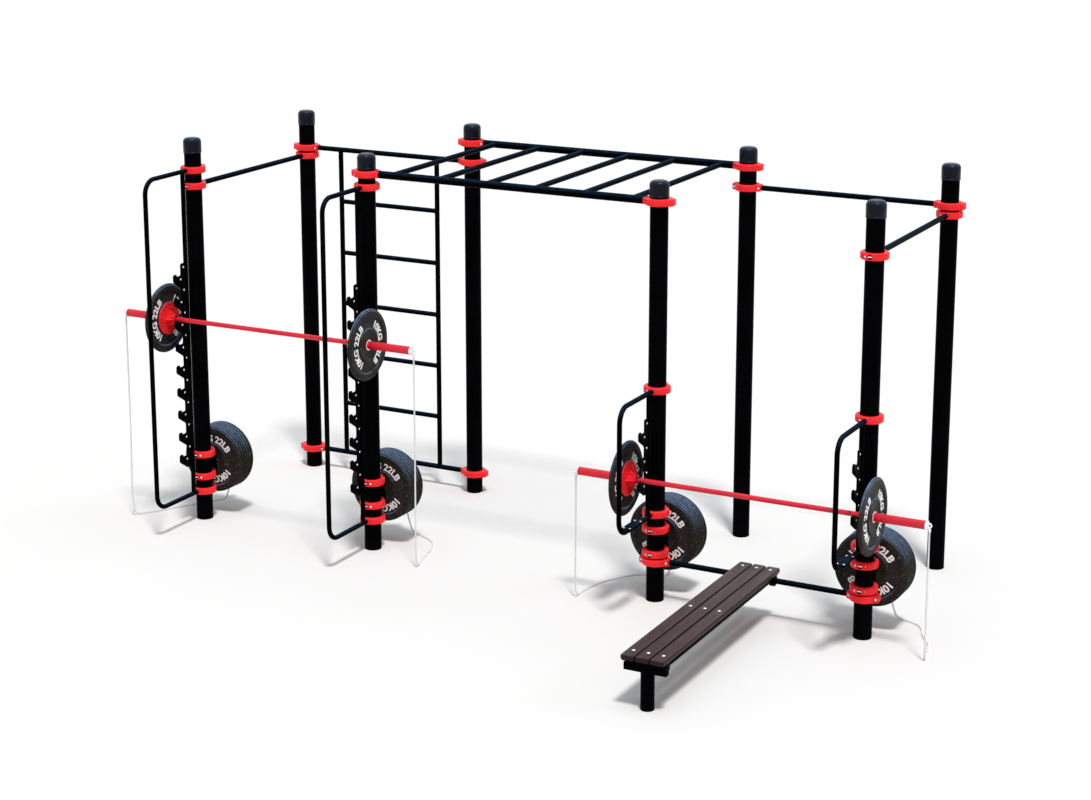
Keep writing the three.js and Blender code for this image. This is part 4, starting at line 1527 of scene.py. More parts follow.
    def place(self, work: ClampedWork, post: Vector, level: float, direction: Direction,
              front: Front = Front.EAR, heads: Heads = Heads.FRONT, turned: bool = False) -> None:
        """Adds a clamp and its bolts to a sub-assembly.

        Args:
            work: Takes the casting and the fixings, and with its steel the dark discs and seat lining that
                paint shade in the holes.
            post: The foot of the post.
            level: The clamp's level.
            direction: The way that its ears point.
            front: What its front is like.
            heads: Where the bolts of two ears have their heads.
            turned: Whether it is fitted upside down, with its front bolt on the other side.
        """
        middle = Vector((post.x, post.y, level))
        place = Matrix.Translation(middle)
        if direction is Direction.ACROSS:
            place = framed(middle, -Y_AXIS, X_AXIS)
        if turned:
            place = place @ Matrix.Rotation(HALF_TURN, 4, X_AXIS)
        turn = place.to_3x3()
        front_ear = front is Front.EAR
        heads = heads if front_ear else Heads.THROUGH
        work.castings.add_mesh(self.casting(front, heads), place)
        for seat, way in self.ear_seats(heads):
            nut = heads is Heads.THROUGH and way.y > 0
            seat, way = place @ seat, turn @ way
            self.add_shade_disc(work, seat, way, self.counterbore)
            if nut:
                work.bolts.hex_nut(seat, way, self.nut_radius, self.front_bolt_height)
            else:
                work.bolts.dome_bolt(seat, way, self.bolt_radius, self.bolt_height)
        if front_ear:
            return
        radii = (self.front_bolt_radius, self.screw_radius)
        for (seat, way, hole), radius in zip(self.front_holes(front), radii):
            seat, way = place @ seat, turn @ way
            self.add_shade_disc(work, seat, way, hole)
            work.bolts.dome_bolt(seat, way, radius, self.front_bolt_height)
        if front is Front.FREE:
            self.add_empty_seat(work, place)

    def add_shade_disc(self, work: ClampedWork, seat: Vector, way: Vector, hole: float) -> None:
        """Adds a dark disc on the floor of a bolt's hole, painted shade that stands in for the hole's shadow.
        """
        place = facing(seat - way * self.overlap, way)
        work.steel.pin(hole - self.overlap, self.washer, place, 0.0001)

    def add_empty_seat(self, work: ClampedWork, place: Matrix) -> None:
        """Adds a dark lining in an empty tube seat and the pin across it: on its walls the lining is painted
        shade, on its floor it is the black post behind.

        Args:
            work: Takes the lining and the pin.
            place: The clamp's own frame.
        """
        wall = 0.001
        outer = self.seat_radius - self.overlap
        inner = outer - wall
        floor = self.ring_radius - self.seat_depth
        mouth = self.ring_radius - self.seat_lip
        work.steel.lathe([
            (0.0, floor), (outer, floor), (outer, mouth), (inner, mouth), (inner, floor + wall),
            (0.0, floor + wall),
        ], place @ facing((0, 0, 0), X_AXIS), sides=40)
        half = inner - self.overlap
        start = place @ Vector((self.ring_radius - self.pin_depth, -half, 0.001))
        work.bolts.pin(self.pin_radius, 2 * half, facing(start, place.to_3x3() @ Y_AXIS))

    def hold_bar(self, work: ClampedWork, posts: Sequence[Vector], level: float, direction: Direction,
                 radius: float = BAR_RADIUS, fronts: Sequence[Front] = (Front.EAR, Front.EAR),
                 heads: Sequence[Heads] = (Heads.FRONT, Heads.FRONT), sides: int = 32) -> None:
        """Adds a level bar between two posts with the clamps that hold it.

        Args:
            work: Takes the bar and the clamps.
            posts: The feet of the two posts.
            level: The bar's level.
            direction: The way that it runs.
            radius: Its radius.
            fronts: What the front of each clamp is like.
            heads: Where the bolts of each clamp have their heads.
            sides: How many sides the bar has.
        """
        along = X_AXIS if direction is Direction.ALONG_ROW else Y_AXIS
        first, last = (Vector((post.x, post.y, level)) for post in posts)
        work.steel.tube([first + along * TUBE_SEAT, last - along * TUBE_SEAT], radius, sides)
        for post, front, bolt_heads in zip(posts, fronts, heads):
            self.place(work, post, level, direction, front, bolt_heads)


CLAMPS = ClampPattern()


@dataclass
class StraightBar:
    """A bar clamped between two posts."""

    node: str
    posts: tuple[Vector, Vector]
    direction: Direction
    fronts: tuple[Front, Front] = (Front.EAR, Front.EAR)
    heads: tuple[Heads, Heads] = (Heads.FRONT, Heads.FRONT)

    def build(self) -> None:
        """Makes the bar, its clamps and its bolts."""
        work = ClampedWork()
        level = span(self.node)[1].z - CLAMP_HALF_HEIGHT
        CLAMPS.hold_bar(work, self.posts, level, self.direction, fronts=self.fronts, heads=self.heads)
        work.put(self.node, self.node, steel="tube")


@dataclass
class WallLadder:
    """Two clamped bars joined by two stiles and five rungs."""

    layout: Layout
    width: float = 0.76
    rungs: int = 5
    rung_radius: float = 0.016
    stile_radius: float = 0.0165
    node: str = "wall_ladder"

    def build(self) -> None:
        """Makes the welded ladder, its clamps and its bolts."""
        low, high, middle = span(self.node)
        foot, head = low.z + CLAMP_HALF_HEIGHT, high.z - CLAMP_HALF_HEIGHT
        posts = [self.layout.post(Row.BACK, column) for column in (1, 2)]
        work = ClampedWork()
        for level in (foot, head):
            CLAMPS.hold_bar(work, posts, level, Direction.ALONG_ROW, heads=(Heads.SPLIT, Heads.BACK))
        left, right = middle.x - self.width / 2, middle.x + self.width / 2
        y = posts[0].y
        for x in (left, right):
            work.weld_tube(Vector((x, y, foot)), Vector((x, y, head)), Z_AXIS, self.stile_radius,
                           X_AXIS, BAR_RADIUS)
        pitch = (head - foot) / (self.rungs + 1)
        for rung in range(1, self.rungs + 1):
            level = head - rung * pitch
            work.weld_tube(Vector((left, y, level)), Vector((right, y, level)), X_AXIS, self.rung_radius,
                           Z_AXIS, self.stile_radius)
        work.put(self.node, self.node)


@dataclass
class MonkeyBars:
    """Two rails clamped to the middle posts, with rungs across."""

    layout: Layout
    rungs: int = 6
    pitch: float = 0.325
    rail_radius: float = 0.024
    rail_sides: int = 40
    node: str = "monkey_bars"

    def build(self) -> None:
        """Makes the welded rails and rungs, their clamps and their bolts."""
        _, high, middle = span(self.node)
        level = high.z - CLAMP_HALF_HEIGHT
        work = ClampedWork()
        for row, first_heads in ((Row.FRONT, Heads.BACK), (Row.BACK, Heads.SPLIT)):
            posts = [self.layout.post(row, column) for column in (2, 3)]
            CLAMPS.hold_bar(work, posts, level, Direction.ALONG_ROW, self.rail_radius,
                            heads=(first_heads, Heads.BACK), sides=self.rail_sides)
        front, back = self.layout.rows[Row.FRONT], self.layout.rows[Row.BACK]
        for rung in range(self.rungs):
            x = middle.x + (rung - (self.rungs - 1) / 2) * self.pitch
            work.weld_tube(Vector((x, front, level)), Vector((x, back, level)), Y_AXIS, BAR_RADIUS,
                           X_AXIS, self.rail_radius)
        work.put(self.node, self.node)


@dataclass
class Rack:
    """A loop of tube on the front of a post, with the plate of hooks that a barbell rests in."""

    label: str
    post: Vector
    hooks: int
    first_hook: float
    spotter: bool
    tube_radius: float = 0.015
    upright_radius: float = 0.0145
    upright_setback: float = 0.115
    bend_radius: float = 0.09
    hook_pitch: float = 0.15
    plate_thickness: float = 0.010
    body_depth: float = 0.0395
    slot_width: float = 0.048
    finger_width: float = 0.031
    slot_rise: float = 0.023
    finger_height: float = 0.016
    heel_drop: float = 0.010
    root_drop: float = 0.062
    fit: float = 0.0003
    top_margin: float = 0.1
    bottom_margin: float = 0.058
    back_round: float = 0.003
    top_round: float = 0.012
    slot_round: float = 0.011
    tip_rounds: tuple[float, float] = (0.0085, 0.0145)
    heel_round: float = 0.016
    foot_round: float = 0.008
    bolt_columns: tuple[tuple[float, float], ...] = ((0.178, 0.0), (0.147, 0.075))
    bolt_radius: float = 0.0066
    bolt_height: float = 0.003
    spotter_length: float = 0.19
    spotter_width: float = 0.06
    spotter_thickness: float = 0.007
    spotter_setback: float = 0.085
    spotter_round: float = 0.012
    spotter_bolt_inset: float = 0.022
    spotter_bolt_reach: float = 0.019

    def build(self) -> None:
        """Makes the loop, its clamps and bolts, the hook plate and any spotter plate."""
        node = f"rack_loop_{self.label}"
        low, high, _ = span(node)
        top, bottom = high.z - CLAMP_HALF_HEIGHT, low.z + CLAMP_HALF_HEIGHT
        front = low.y + self.tube_radius
        work = ClampedWork()
        work.steel.tube(self.loop_path(top, bottom, front), self.tube_radius)
        foot, head = (Vector((self.post.x, self.post.y - self.upright_setback, z)) for z in (bottom, top))
        work.weld_tube(foot, head, Z_AXIS, self.upright_radius, Y_AXIS, self.tube_radius)
        for level in (top, bottom):
            CLAMPS.place(work, self.post, level, Direction.ACROSS, Front.PLUGGED)
        if self.spotter:
            self.add_spotter(work, bottom, front)
        work.put(node, "rack_loop", f"_{self.label}")
        self.build_hook_plate()

    def loop_path(self, top: float, bottom: float, front: float) -> list[Vector]:
        """Returns the centre line of the loop, from the upper clamp to the lower one.

        Args:
            top: The upper clamp's level.
            bottom: The lower clamp's level.
            front: Where the loop's front lies in Y.

        Returns:
            The points of the line.
        """
        x, bend = self.post.x, self.bend_radius
        start = self.post.y - TUBE_SEAT
        path = [Vector((x, start, top))]
        steps = 12
        for centre, first in ((top - bend, QUARTER_TURN), (bottom + bend, HALF_TURN)):
            for step in range(steps + 1):
                angle = first + QUARTER_TURN * step / steps
                y = front + bend + bend * math.cos(angle)
                path.append(Vector((x, y, centre + bend * math.sin(angle))))
        path.append(Vector((x, start, bottom)))
        return path

    def add_spotter(self, work: ClampedWork, bottom: float, front: float) -> None:
        """Adds the flat landing plate on the loop's lower tube.

        Args:
            work: Takes the plate and its bolts.
            bottom: The lower tube's level.
            front: Where the loop's front lies in Y.
        """
        x, half = self.post.x, self.spotter_width / 2
        start = front + self.spotter_setback
        end = start + self.spotter_length
        saddle = bottom + self.tube_radius - self.spotter_thickness / 2
        outline = rounded_rectangle(x - half, start, x + half, end, self.spotter_round)
        work.steel.slab(outline, self.spotter_thickness, Matrix.Translation((0, 0, saddle)), bevel=0.0015)
        for y in (start + self.spotter_bolt_inset, end - self.spotter_bolt_inset):
            for side in (-1, 1):
                seat = (x + side * self.spotter_bolt_reach, y, saddle + self.spotter_thickness - 0.0002)
                work.bolts.dome_bolt(seat, Z_AXIS, 0.0068, 0.0035)

    def hook_outline(self) -> list[Vector]:
        """Returns the side view of the hook plate, with Y across and Z up."""
        back = self.post.y - self.upright_setback - self.upright_radius - self.fit
        face = back - self.body_depth
        inner = face - self.slot_width
        outer = inner - self.finger_width
        top = self.first_hook + (self.hooks - 1) * self.hook_pitch
        inner_round, outer_round = self.tip_rounds
        summit = top + self.top_margin
        corners = [(back, summit, self.back_round), (face, summit, self.top_round)]
        for hook in range(self.hooks):
            level = top - hook * self.hook_pitch
            seat = level + self.slot_rise
            tip = seat + self.finger_height
            corners += [
                (face, seat, self.slot_round), (inner, seat, self.slot_round), (inner, tip, inner_round),
                (outer, tip, outer_round), (outer, level - self.heel_drop, self.heel_round),
                (face, level - self.root_drop, self.heel_round),
            ]
        foot = self.first_hook - self.bottom_margin
        corners += [(face, foot, self.foot_round), (back, foot, self.back_round)]
        return rounded_outline(corners)

    def build_hook_plate(self) -> None:
        """Makes the hook plate and its two columns of bolts."""
        place = framed((self.post.x - self.plate_thickness / 2, 0, 0), Y_AXIS, Z_AXIS)
        plate = Shape().slab(self.hook_outline(), self.plate_thickness, place, bevel=0.0013)
        node = f"hook_plate_{self.label}"
        put(plate, f"hook_plate_steel_{self.label}", BLACK_COAT, stands_for=[node])
        bolts = Shape()
        for hook in range(self.hooks):
            level = self.first_hook + hook * self.hook_pitch
            for setback, rise in self.bolt_columns:
                for side in (-1, 1):
                    x = self.post.x + side * (self.plate_thickness / 2 - 0.0002)
                    bolts.dome_bolt((x, self.post.y - setback, level + rise), X_AXIS * side,
                                    self.bolt_radius, self.bolt_height)
        put(bolts, f"hook_plate_bolts_{self.label}", ZINC, stands_for=[node])


@dataclass
class PlatePattern:
    """A pressed rubber plate: rim, sunk band with raised numerals, hub and steel bush."""

    radius: float = 0.225
    thickness: float = 0.026
    bore: float = 0.0257
    rim_width: float = 0.044
    hub_radius: float = 0.1005
    recess: float = 0.007
    hub_recess: float = 0.0025
    edge_round: float = 0.0085
    shoulder: float = 0.005
    bush_radius: float = 0.033

    def face(self) -> list[tuple[float, float]]:
        """Returns one face's profile from the bore out, as radius and depth below the rim."""
        rim = self.radius - self.rim_width
        bead = self.hub_radius
        edge = self.radius - self.edge_round
        return [
            (self.bore, self.hub_recess), (bead - 0.014, self.hub_recess), (bead - 0.011, 0.0008),
            (bead - 0.007, 0.0001), (bead - 0.003, 0.0003), (bead, 0.0014), (bead + 0.0055, 0.0055),
            (bead + 0.008, self.recess), (rim - 0.007, self.recess), (rim - 0.005, 0.0055),
            (rim, 0.0014), (rim + 0.004, 0.0), (edge - 0.009, 0.0), (edge - 0.0055, 0.0006),
            (edge - 0.0025, self.shoulder - 0.0008), (edge, self.shoulder),
        ]

    def add(self, rubber: Shape, steel: Shape, place: Matrix) -> None:
        """Adds a plate between the local planes z = 0 and z = its thickness.

        Args:
            rubber: Takes the plate.
            steel: Takes its bush.
            place: Where the local frame goes.
        """
        front = self.face()
        profile = list(front)
        steps = 6
        corner = self.radius - self.edge_round
        inset = self.shoulder + self.edge_round
        for middle, start in ((inset, -QUARTER_TURN), (self.thickness - inset, 0.0)):
            for step in range(1, steps):
                angle = start + QUARTER_TURN * step / steps
                reach = corner + self.edge_round * math.cos(angle)
                profile.append((reach, middle + self.edge_round * math.sin(angle)))
        profile += [(radius, self.thickness - depth) for radius, depth in reversed(front)]
        rubber.lathe(profile, place, sides=128, looped=True)
        ease = 0.0006
        low, high = self.hub_recess - 0.0012, self.thickness - self.hub_recess + 0.0012
        inner = self.bore - 0.0004
        ring = [
            (inner, low + ease), (inner + ease, low), (self.bush_radius - ease, low),
            (self.bush_radius, low + ease), (self.bush_radius, high - ease),
            (self.bush_radius - ease, high), (inner + ease, high), (inner, high - ease),
        ]
        steel.lathe(ring, place, sides=64, looped=True)


PLATES = PlatePattern()


def put_plates(shapes: Sequence[Shape], prefix: str, bush_word: str, label: str) -> None:
    """Makes the rubber, the steel bushes and the numerals of plates, which ride on their own body.

    Args:
        shapes: The three shapes, in that order.
        prefix: What the names of the pieces, the body and the solid start with.
        bush_word: What the steel is called.
        label: What the names end with.
    """
    node = f"{prefix}_{label}"
    for word, shape, finish in zip(("rubber", bush_word, "numerals"), shapes, (RUBBER, ZINC, MARKING)):
        put(shape, f"{prefix}_{word}_{label}", finish, node, [node])


@dataclass
class ArcNumerals:
    """Plain raised numerals bent round a plate's band."""

    text: str = "10KG 22LB"
    radius: float = 0.118
    height: float = 0.044
    spread: float = math.radians(126)
    raise_by: float = 0.0014
    mesh: Optional[bpy.types.Mesh] = None

    def prepare(self) -> None:
        """Writes the numerals once, centred at the top of their arc, in X and Y."""
        curve = bpy.data.curves.new("numerals", "FONT")
        curve.body = self.text
        curve.align_x = "CENTER"
        curve.size = self.height / 0.7
        curve.offset = 0.0018
        curve.extrude = self.raise_by / 2
        curve.bevel_depth = 0.0003
        curve.bevel_resolution = 1
        curve.resolution_u = 6
        holder = add_object("numerals", curve)
        mesh = evaluated_mesh(holder)
        bpy.data.objects.remove(holder)
        reach = max(abs(vertex.co.x) for vertex in mesh.vertices)
        for vertex in mesh.vertices:
            angle = QUARTER_TURN - vertex.co.x / reach * self.spread / 2
            vertex.co = polar(self.radius + vertex.co.y, angle, vertex.co.z)
        self.mesh = mesh

    def add(self, shape: Shape, place: Matrix, first_turn: float) -> None:
        """Adds two arcs of numerals that face each other across the hub, the first turned from Y."""
        for turn in (first_turn, first_turn + HALF_TURN):
            shape.add_mesh(self.mesh, place @ Matrix.Rotation(turn, 4, "Z"))


NUMERALS = ArcNumerals()


@dataclass
class Storage:
    """A peg behind a post, with two clamps, their bracket, an eye and six hung plates."""

    label: str
    post: Vector
    plates: int = 6
    bracket_thickness: float = 0.012
    bracket_half_width: float = 0.035
    bracket_round: float = 0.008
    ear_reach: float = 0.098
    peg_radius: float = 0.025
    peg_end: float = 0.3443
    eye_radius: float = 0.011
    eye_wire: float = 0.004

    def build(self) -> None:
        """Makes the clamps and bracket, the peg, the eye and the hung plates."""
        node = f"storage_peg_{self.label}"
        low, high, _ = span(node)
        levels = (high.z - CLAMP_HALF_HEIGHT, low.z + CLAMP_HALF_HEIGHT)
        work = ClampedWork()
        for level in levels:
            CLAMPS.place(work, self.post, level, Direction.ACROSS, Front.FREE, turned=self.post.x < 0)
        x, y, half = self.post.x, self.post.y, self.bracket_half_width
        outline = rounded_rectangle(-half, low.z, half, high.z, self.bracket_round)
        back = self.ear_reach + self.bracket_thickness / 2
        place = framed((x, y + back, 0), X_AXIS, Z_AXIS)
        work.steel.slab(outline, self.bracket_thickness, place, bevel=0.002)
        middle = (levels[0] + levels[1]) / 2
        work.bolts.ring((x, y + self.peg_end + 0.01, middle), X_AXIS, self.eye_radius, self.eye_wire)
        work.put(node, "storage", f"_{self.label}", steel="inserts")
        ease = 0.002
        length = self.peg_end - self.ear_reach
        peg = [
            (0.0, 0.0), (self.peg_radius, 0.0), (self.peg_radius, length - ease),
            (self.peg_radius - ease, length), (0.0, length),
        ]
        peg_place = facing((x, y + self.ear_reach, middle), Y_AXIS)
        put(Shape().lathe(peg, peg_place), f"storage_peg_tube_{self.label}", BAR_RED, stands_for=[node])
        self.build_stack(middle)

    def build_stack(self, level: float) -> None:
        """Hangs the spare plates on the peg.

        Args:
            level: The peg's level.
        """
        low, high, _ = span(f"plate_stack_{self.label}")
        rubber, steel, marks = Shape(), Shape(), Shape()
        pitch = (high.y - low.y) / self.plates
        for plate in range(self.plates):
            PLATES.add(rubber, steel, facing((self.post.x, low.y + plate * pitch, level), Y_AXIS))
        for y, x_axis in ((low.y + PLATES.recess, X_AXIS), (high.y - PLATES.recess, -X_AXIS)):
            NUMERALS.add(marks, framed((self.post.x, y, level), x_axis, Z_AXIS), 0.0)
        put_plates((rubber, steel, marks), "plate_stack", "bushes", self.label)


@dataclass
class Barbell:
    """A shaft with a turning sleeve, a plate and an end eye at each end."""

    name: str
    layout: Layout
    columns: tuple[int, int]
    shaft_radius: float = 0.015
    sleeve_radius: float = 0.025
    sleeve_bore: float = 0.0155
    hub_length: float = 0.053
    hub_radius: float = 0.0215
    gusset_count: int = 4
    gusset_root: float = 0.05
    gusset_thickness: float = 0.007
    flange_start: float = 0.084
    flange_thickness: float = 0.008
    flange_radius: float = 0.105
    flange_bore: float = 0.02
    bite: float = 0.001
    fillet: float = 0.004
    weld_width: float = 0.005
    hole_rings: tuple[tuple[int, float, float], ...] = ((18, 0.086, 0.0065), (10, 0.062, 0.0055))
    sleeve_end: float = 0.413
    collar_length: float = 0.012
    collar_radius: float = 0.0268
    eye_radius: float = 0.0105
    eye_wire: float = 0.0045
    ferrule_radius: float = 0.0078
    ferrule_length: float = 0.024
    fit: float = 0.0003
    flange: Optional[bpy.types.Mesh] = None

    def build(self) -> None:
        """Makes the shaft and both ends."""
        node = f"barbell_shaft_{self.name}"
        low, high, middle = span(node)
        place = facing((low.x, middle.y, middle.z), X_AXIS)
        shaft = Shape().pin(self.shaft_radius, high.x - low.x, place, ease=0.001, sides=40)
        put(shaft, f"barbell_shaft_steel_{self.name}", BAR_RED, f"barbell_{self.name}", [node])
        self.flange = self.drilled_flange()
        for side, column in zip((-1, 1), self.columns):
            axis = Vector((self.layout.columns[column - 1], middle.y, middle.z))
            self.build_end(f"{self.name}_{column}", axis, X_AXIS * side)

    def drilled_flange(self) -> bpy.types.Mesh:
        """Returns the flange disc with its rings of holes, its axis along Z."""
        disc = Shape().bored_disc(self.flange_bore, self.flange_radius, self.flange_thickness, 0.0012,
                                  Matrix.Identity(4), sides=96)
        drills = Shape()
        for count, reach, radius in self.hole_rings:
            for hole in range(count):
                place = Matrix.Translation(polar(reach, FULL_TURN * (hole + 0.5) / count, -0.005))
                drills.pin(radius, 0.02, place, sides=20)
        return carved(disc, drills)

    def build_end(self, label: str, axis: Vector, outwards: Vector) -> None:
        """Makes the sleeve, the plate and the end eye beside one post.

        Args:
            label: The end's label.
            axis: Where the shaft's axis passes the post.
            outwards: The way to the bar's end.
        """
        place = facing(axis, outwards)
        hub_start = self.flange_start - self.hub_length
        seat = self.flange_start + self.bite
        end = self.flange_start + self.flange_thickness
        ease = 0.0015
        weld = self.sleeve_radius + self.weld_width
        sleeve = Shape().lathe([
            (self.sleeve_bore, hub_start), (self.hub_radius - ease, hub_start),
            (self.hub_radius, hub_start + ease), (self.hub_radius, self.flange_start - 0.003),
            (self.hub_radius + self.fillet, seat), (weld, seat),
            (weld, end), (self.sleeve_radius, end + 0.003), (self.sleeve_radius, self.sleeve_end - ease),
            (self.sleeve_radius - ease, self.sleeve_end), (self.sleeve_bore, self.sleeve_end),
        ], place, looped=True)
        flange = Shape().add_mesh(self.flange, place @ Matrix.Translation((0, 0, self.flange_start)))
        self.add_gussets(flange, axis, outwards)
        for shape, name, finish in ((sleeve, "tube", BAR_RED), (flange, "flange", CLAMP_RED)):
            put(shape, f"barbell_sleeve_{name}_{label}", finish, f"sleeve_{label}",
                [f"barbell_sleeve_{label}"])
        self.build_eye(label, place)
        self.build_plate(label, outwards)

    def add_gussets(self, flange: Shape, axis: Vector, outwards: Vector) -> None:
        """Adds the ribs that brace the flange against the hub.

        Args:
            flange: Takes the ribs.
            axis: Where the shaft's axis passes the post.
            outwards: The way to the bar's end.
        """
        root, seat = self.hub_radius - self.bite, self.flange_start + self.bite
        start = self.flange_start - self.hub_length + 0.006
        outline = rounded_outline([
            (root, seat, 0), (self.gusset_root, seat, 0),
            (self.gusset_root, self.flange_start - 0.006, 0.003),
            (self.hub_radius + self.fillet, start, 0.004), (root, start, 0),
        ])
        for rib in range(self.gusset_count):
            angle = FULL_TURN * rib / self.gusset_count
            way = Vector((0, math.cos(angle), math.sin(angle)))
            side = way.cross(outwards)
            place = framed(axis - side * self.gusset_thickness / 2, way, outwards)
            flange.slab(outline, self.gusset_thickness, place, bevel=0.001)

    def build_eye(self, label: str, place: Matrix) -> None:
        """Makes the end collar, its eye and the ferrule that holds the cable's end.

        Args:
            label: The end's label.
            place: The frame with its Z axis along the sleeve.
        """
        start = self.sleeve_end + self.fit
        radius, end = self.collar_radius, start + self.collar_length
        ease = 0.0012
        crown = end + 0.002
        collar = Shape().lathe([
            (0.0, start), (radius - ease, start), (radius, start + ease), (radius, end - ease),
            (radius - ease, end), (radius * 0.62, end), (radius * 0.58, end + 0.0015), (radius * 0.3, crown),
            (0.0, crown),
        ], place, sides=56)
        centre = place @ Vector((0, 0, end + 0.01))
        collar.ring(centre, Y_AXIS, self.eye_radius, self.eye_wire)
        put(collar, f"barbell_end_collar_{label}", ZINC, f"barbell_{self.name}",
            [f"barbell_end_eye_{label}"])
        drop = self.eye_radius + self.eye_wire + self.fit
        low = centre - Z_AXIS * (drop + self.ferrule_length)
        ferrule = Shape().pin(self.ferrule_radius, self.ferrule_length, Matrix.Translation(low), 0.002)
        put(ferrule, f"cable_ferrule_{label}", ZINC, f"barbell_{self.name}", [f"barbell_end_eye_{label}"])

    def build_plate(self, label: str, outwards: Vector) -> None:
        """Makes the loaded plate with its numerals on both faces.

        Args:
            label: The end's label.
            outwards: The way to the bar's end.
        """
        low, high, middle = span(f"bar_plate_{label}")
        inner = low.x if outwards.x > 0 else high.x
        outer = high.x if outwards.x > 0 else low.x
        rubber, steel, marks = Shape(), Shape(), Shape()
        PLATES.add(rubber, steel, facing((inner, middle.y, middle.z), outwards))
        for way, x in ((outwards, outer), (-outwards, inner)):
            face = framed((x - way.x * PLATES.recess, middle.y, middle.z), Z_AXIS.cross(way), Z_AXIS)
            NUMERALS.add(marks, face, QUARTER_TURN)
        put_plates((rubber, steel, marks), "bar_plate", "bush", label)


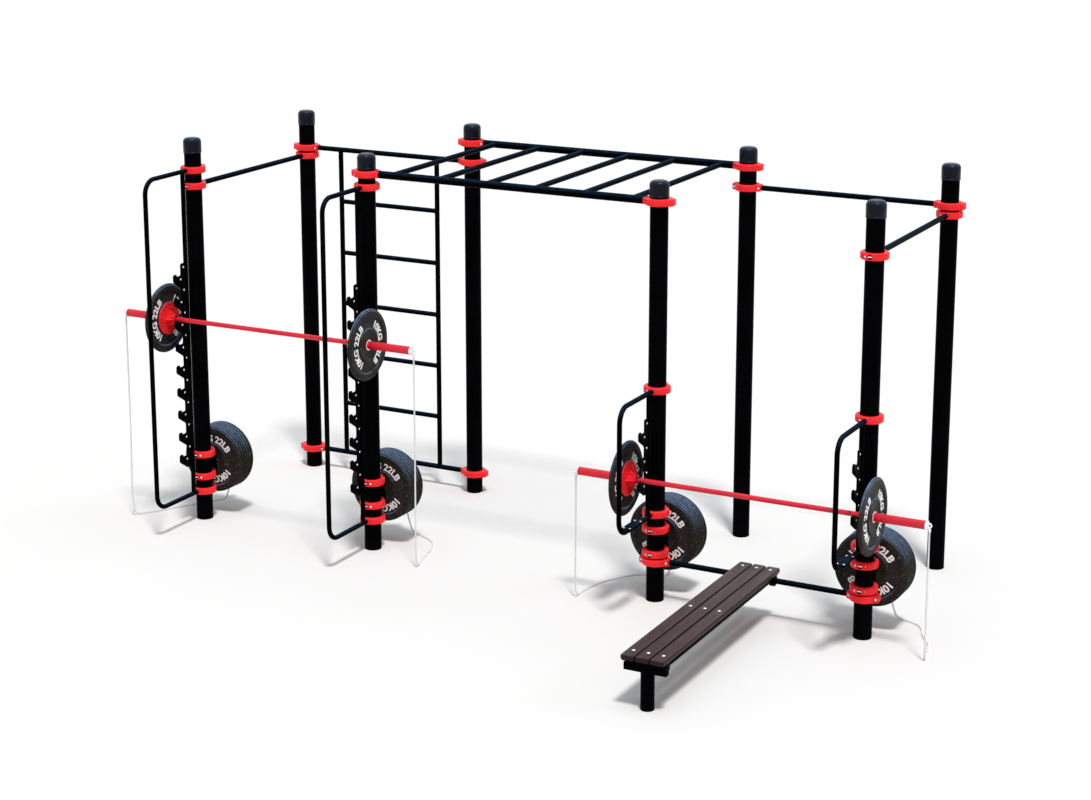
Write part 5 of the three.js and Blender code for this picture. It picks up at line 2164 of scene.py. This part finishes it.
@dataclass
class Bench:
    """A three-plank bench on a welded frame that hooks over the low bar."""

    centre_x: float
    rear_y: float
    runner_width: float = 0.03
    runner_height: float = 0.026
    runner_inset: float = 0.012
    strap_width: float = 0.045
    strap_thickness: float = 0.008
    beam_half_length: float = 0.125
    beam_height: float = 0.04
    beam_depth: float = 0.04
    beam_setback: float = 0.04
    leg_radius: float = 0.038
    leg_setback: float = 0.002
    saddle_radius: float = 0.033
    stub_radius: float = 0.017
    stub_length: float = 0.015
    stub_setback: float = 0.03
    stub_bite: float = 0.004
    bolt_setbacks: tuple[float, ...] = (0.014, 0.757, 1.492)
    bolt_radius: float = 0.0105
    bolt_height: float = 0.001
    bolt_stand: float = 0.0035
    fit: float = 0.0003

    def build(self) -> None:
        """Makes the planks, the frame and the bolts."""
        low, high, _ = span("bench_plank_1")
        left, right = low.x, span("bench_plank_3")[1].x
        head_y = low.y + self.beam_setback
        leg_y = head_y + self.leg_setback + self.leg_radius
        rows = (leg_y, (leg_y + self.rear_y) / 2, self.rear_y)
        for plank in range(1, 4):
            self.build_plank(plank)
        self.build_frame(left, right, low.z, head_y, leg_y, rows)
        bolts = Shape()
        for plank in range(1, 4):
            middle = span(f"bench_plank_{plank}")[2]
            for setback in self.bolt_setbacks:
                seat = (middle.x, self.rear_y - setback, high.z - self.bolt_height)
                bolts.dome_bolt(seat, Z_AXIS, self.bolt_radius, self.bolt_height + self.bolt_stand)
        put(bolts, "bench_bolts", ZINC, stands_for=["bench_frame"])

    def build_plank(self, plank: int) -> None:
        """Makes one plank with soft edges.

        Args:
            plank: The plank's number.
        """
        node = f"bench_plank_{plank}"
        low, high, _ = span(node)
        outline = rounded_rectangle(low.x, low.y, high.x, high.y, 0.013)
        board = Shape().slab(outline, high.z - low.z, Matrix.Translation((0, 0, low.z)), bevel=0.007,
                             segments=4)
        put(board, f"{node}_board", PLANK, stands_for=[node])

    def build_frame(self, left: float, right: float, plank_bottom: float, head_y: float, leg_y: float,
                    rows: Sequence[float]) -> None:
        """Makes the leg, head beam, runners, straps, saddles and stub.

        Args:
            left: The planks' left side.
            right: The planks' right side.
            plank_bottom: The level of their undersides.
            head_y: Where the beam's front lies in Y.
            leg_y: Where the leg stands in Y.
            rows: Where the straps lie in Y.
        """
        strap_top = plank_bottom - self.fit
        strap_low = strap_top - self.strap_thickness
        runner_top = strap_top - self.strap_thickness / 2
        beam_top = runner_top - self.runner_height
        x = self.centre_x
        steel = Shape()
        leg = [(0.0, 0.0), (self.leg_radius - 0.001, 0.0), (self.leg_radius, 0.001),
               (self.leg_radius, beam_top), (0.0, beam_top)]
        steel.lathe(leg, Matrix.Translation((x, leg_y, 0)), sides=56)
        steel.box((x - self.beam_half_length, head_y, beam_top - self.beam_height),
                  (x + self.beam_half_length, head_y + self.beam_depth,
                   beam_top + self.strap_thickness / 2), 0.004)
        for y in rows:
            front = head_y - self.beam_setback + self.runner_inset if y == leg_y else y - self.strap_width / 2
            steel.box((left + self.runner_inset / 2, front, strap_low),
                      (right - self.runner_inset / 2, y + self.strap_width / 2, strap_top), 0.0015)
        level = span("bench_bar")[1].z - CLAMP_HALF_HEIGHT
        for side, edge in ((1, left), (-1, right)):
            outer = edge + side * self.runner_inset
            inner = outer + side * self.runner_width
            low_x, high_x = sorted((outer, inner))
            steel.box((low_x, head_y, beam_top), (high_x, self.rear_y, runner_top), 0.003)
            steel.bored_disc(BAR_RADIUS + 0.0005, self.saddle_radius, self.runner_width, 0.002,
                             facing((low_x, self.rear_y, level), X_AXIS), sides=56)
        ease = 0.001
        stub = [
            (0.0, 0.0), (self.stub_radius, 0.0), (self.stub_radius, self.stub_length - ease),
            (self.stub_radius - ease, self.stub_length), (0.0, self.stub_length),
        ]
        stub_start = right - self.runner_inset - self.stub_bite
        place = facing((stub_start, head_y + self.stub_setback, beam_top + self.stub_bite), X_AXIS)
        steel.lathe(stub, place, sides=36)
        put(steel, "bench_frame_steel", BLACK_COAT, stands_for=["bench_frame"])


def main() -> None:
    """Builds the station in order: camera, cables, then each sub-assembly and the light."""
    logging.basicConfig(level=logging.INFO, format="%(name)s: %(message)s")
    studio = Studio()
    studio.set_camera()
    layout = Layout()
    bays = (("left", (1, 2)), ("right", (3, 4)))
    for bay, columns in bays:
        shaft_level = span(f"barbell_shaft_{bay}")[2].z
        for side, column in zip((-1, 1), columns):
            label = f"{bay}_{column}"
            SafetyCable(label, side, layout.post(Row.FRONT, column), f"barbell_{bay}", shaft_level,
                        CABLE_FLOOR_POINTS[label]).build()
    NUMERALS.prepare()
    for row in Row:
        for column in range(1, 5):
            Post(row, column).build()
    front = [layout.post(Row.FRONT, column) for column in range(1, 5)]
    back = [layout.post(Row.BACK, column) for column in range(1, 5)]
    for name, column in (("pull_up_bar_left", 0), ("pull_up_bar_right", 3)):
        StraightBar(name, (front[column], back[column]), Direction.ACROSS,
                    fronts=(Front.FREE, Front.PLUGGED)).build()
    StraightBar("pull_up_bar_back", (back[2], back[3]), Direction.ALONG_ROW,
                heads=(Heads.FRONT, Heads.BACK)).build()
    StraightBar("bench_bar", (front[2], front[3]), Direction.ALONG_ROW).build()
    WallLadder(layout).build()
    MonkeyBars(layout).build()
    for bay, columns in bays:
        for column in columns:
            label = f"{bay}_{column}"
            tall = bay == "left"
            Rack(label, front[column - 1], hooks=9 if tall else 3, first_hook=0.455 if tall else 0.76,
                 spotter=not tall).build()
            Storage(label, front[column - 1]).build()
        Barbell(bay, layout, columns).build()
    Bench(span("bench_bar")[2].x, layout.rows[Row.FRONT]).build()
    studio.light()


if __name__ == "__main__":
    main()
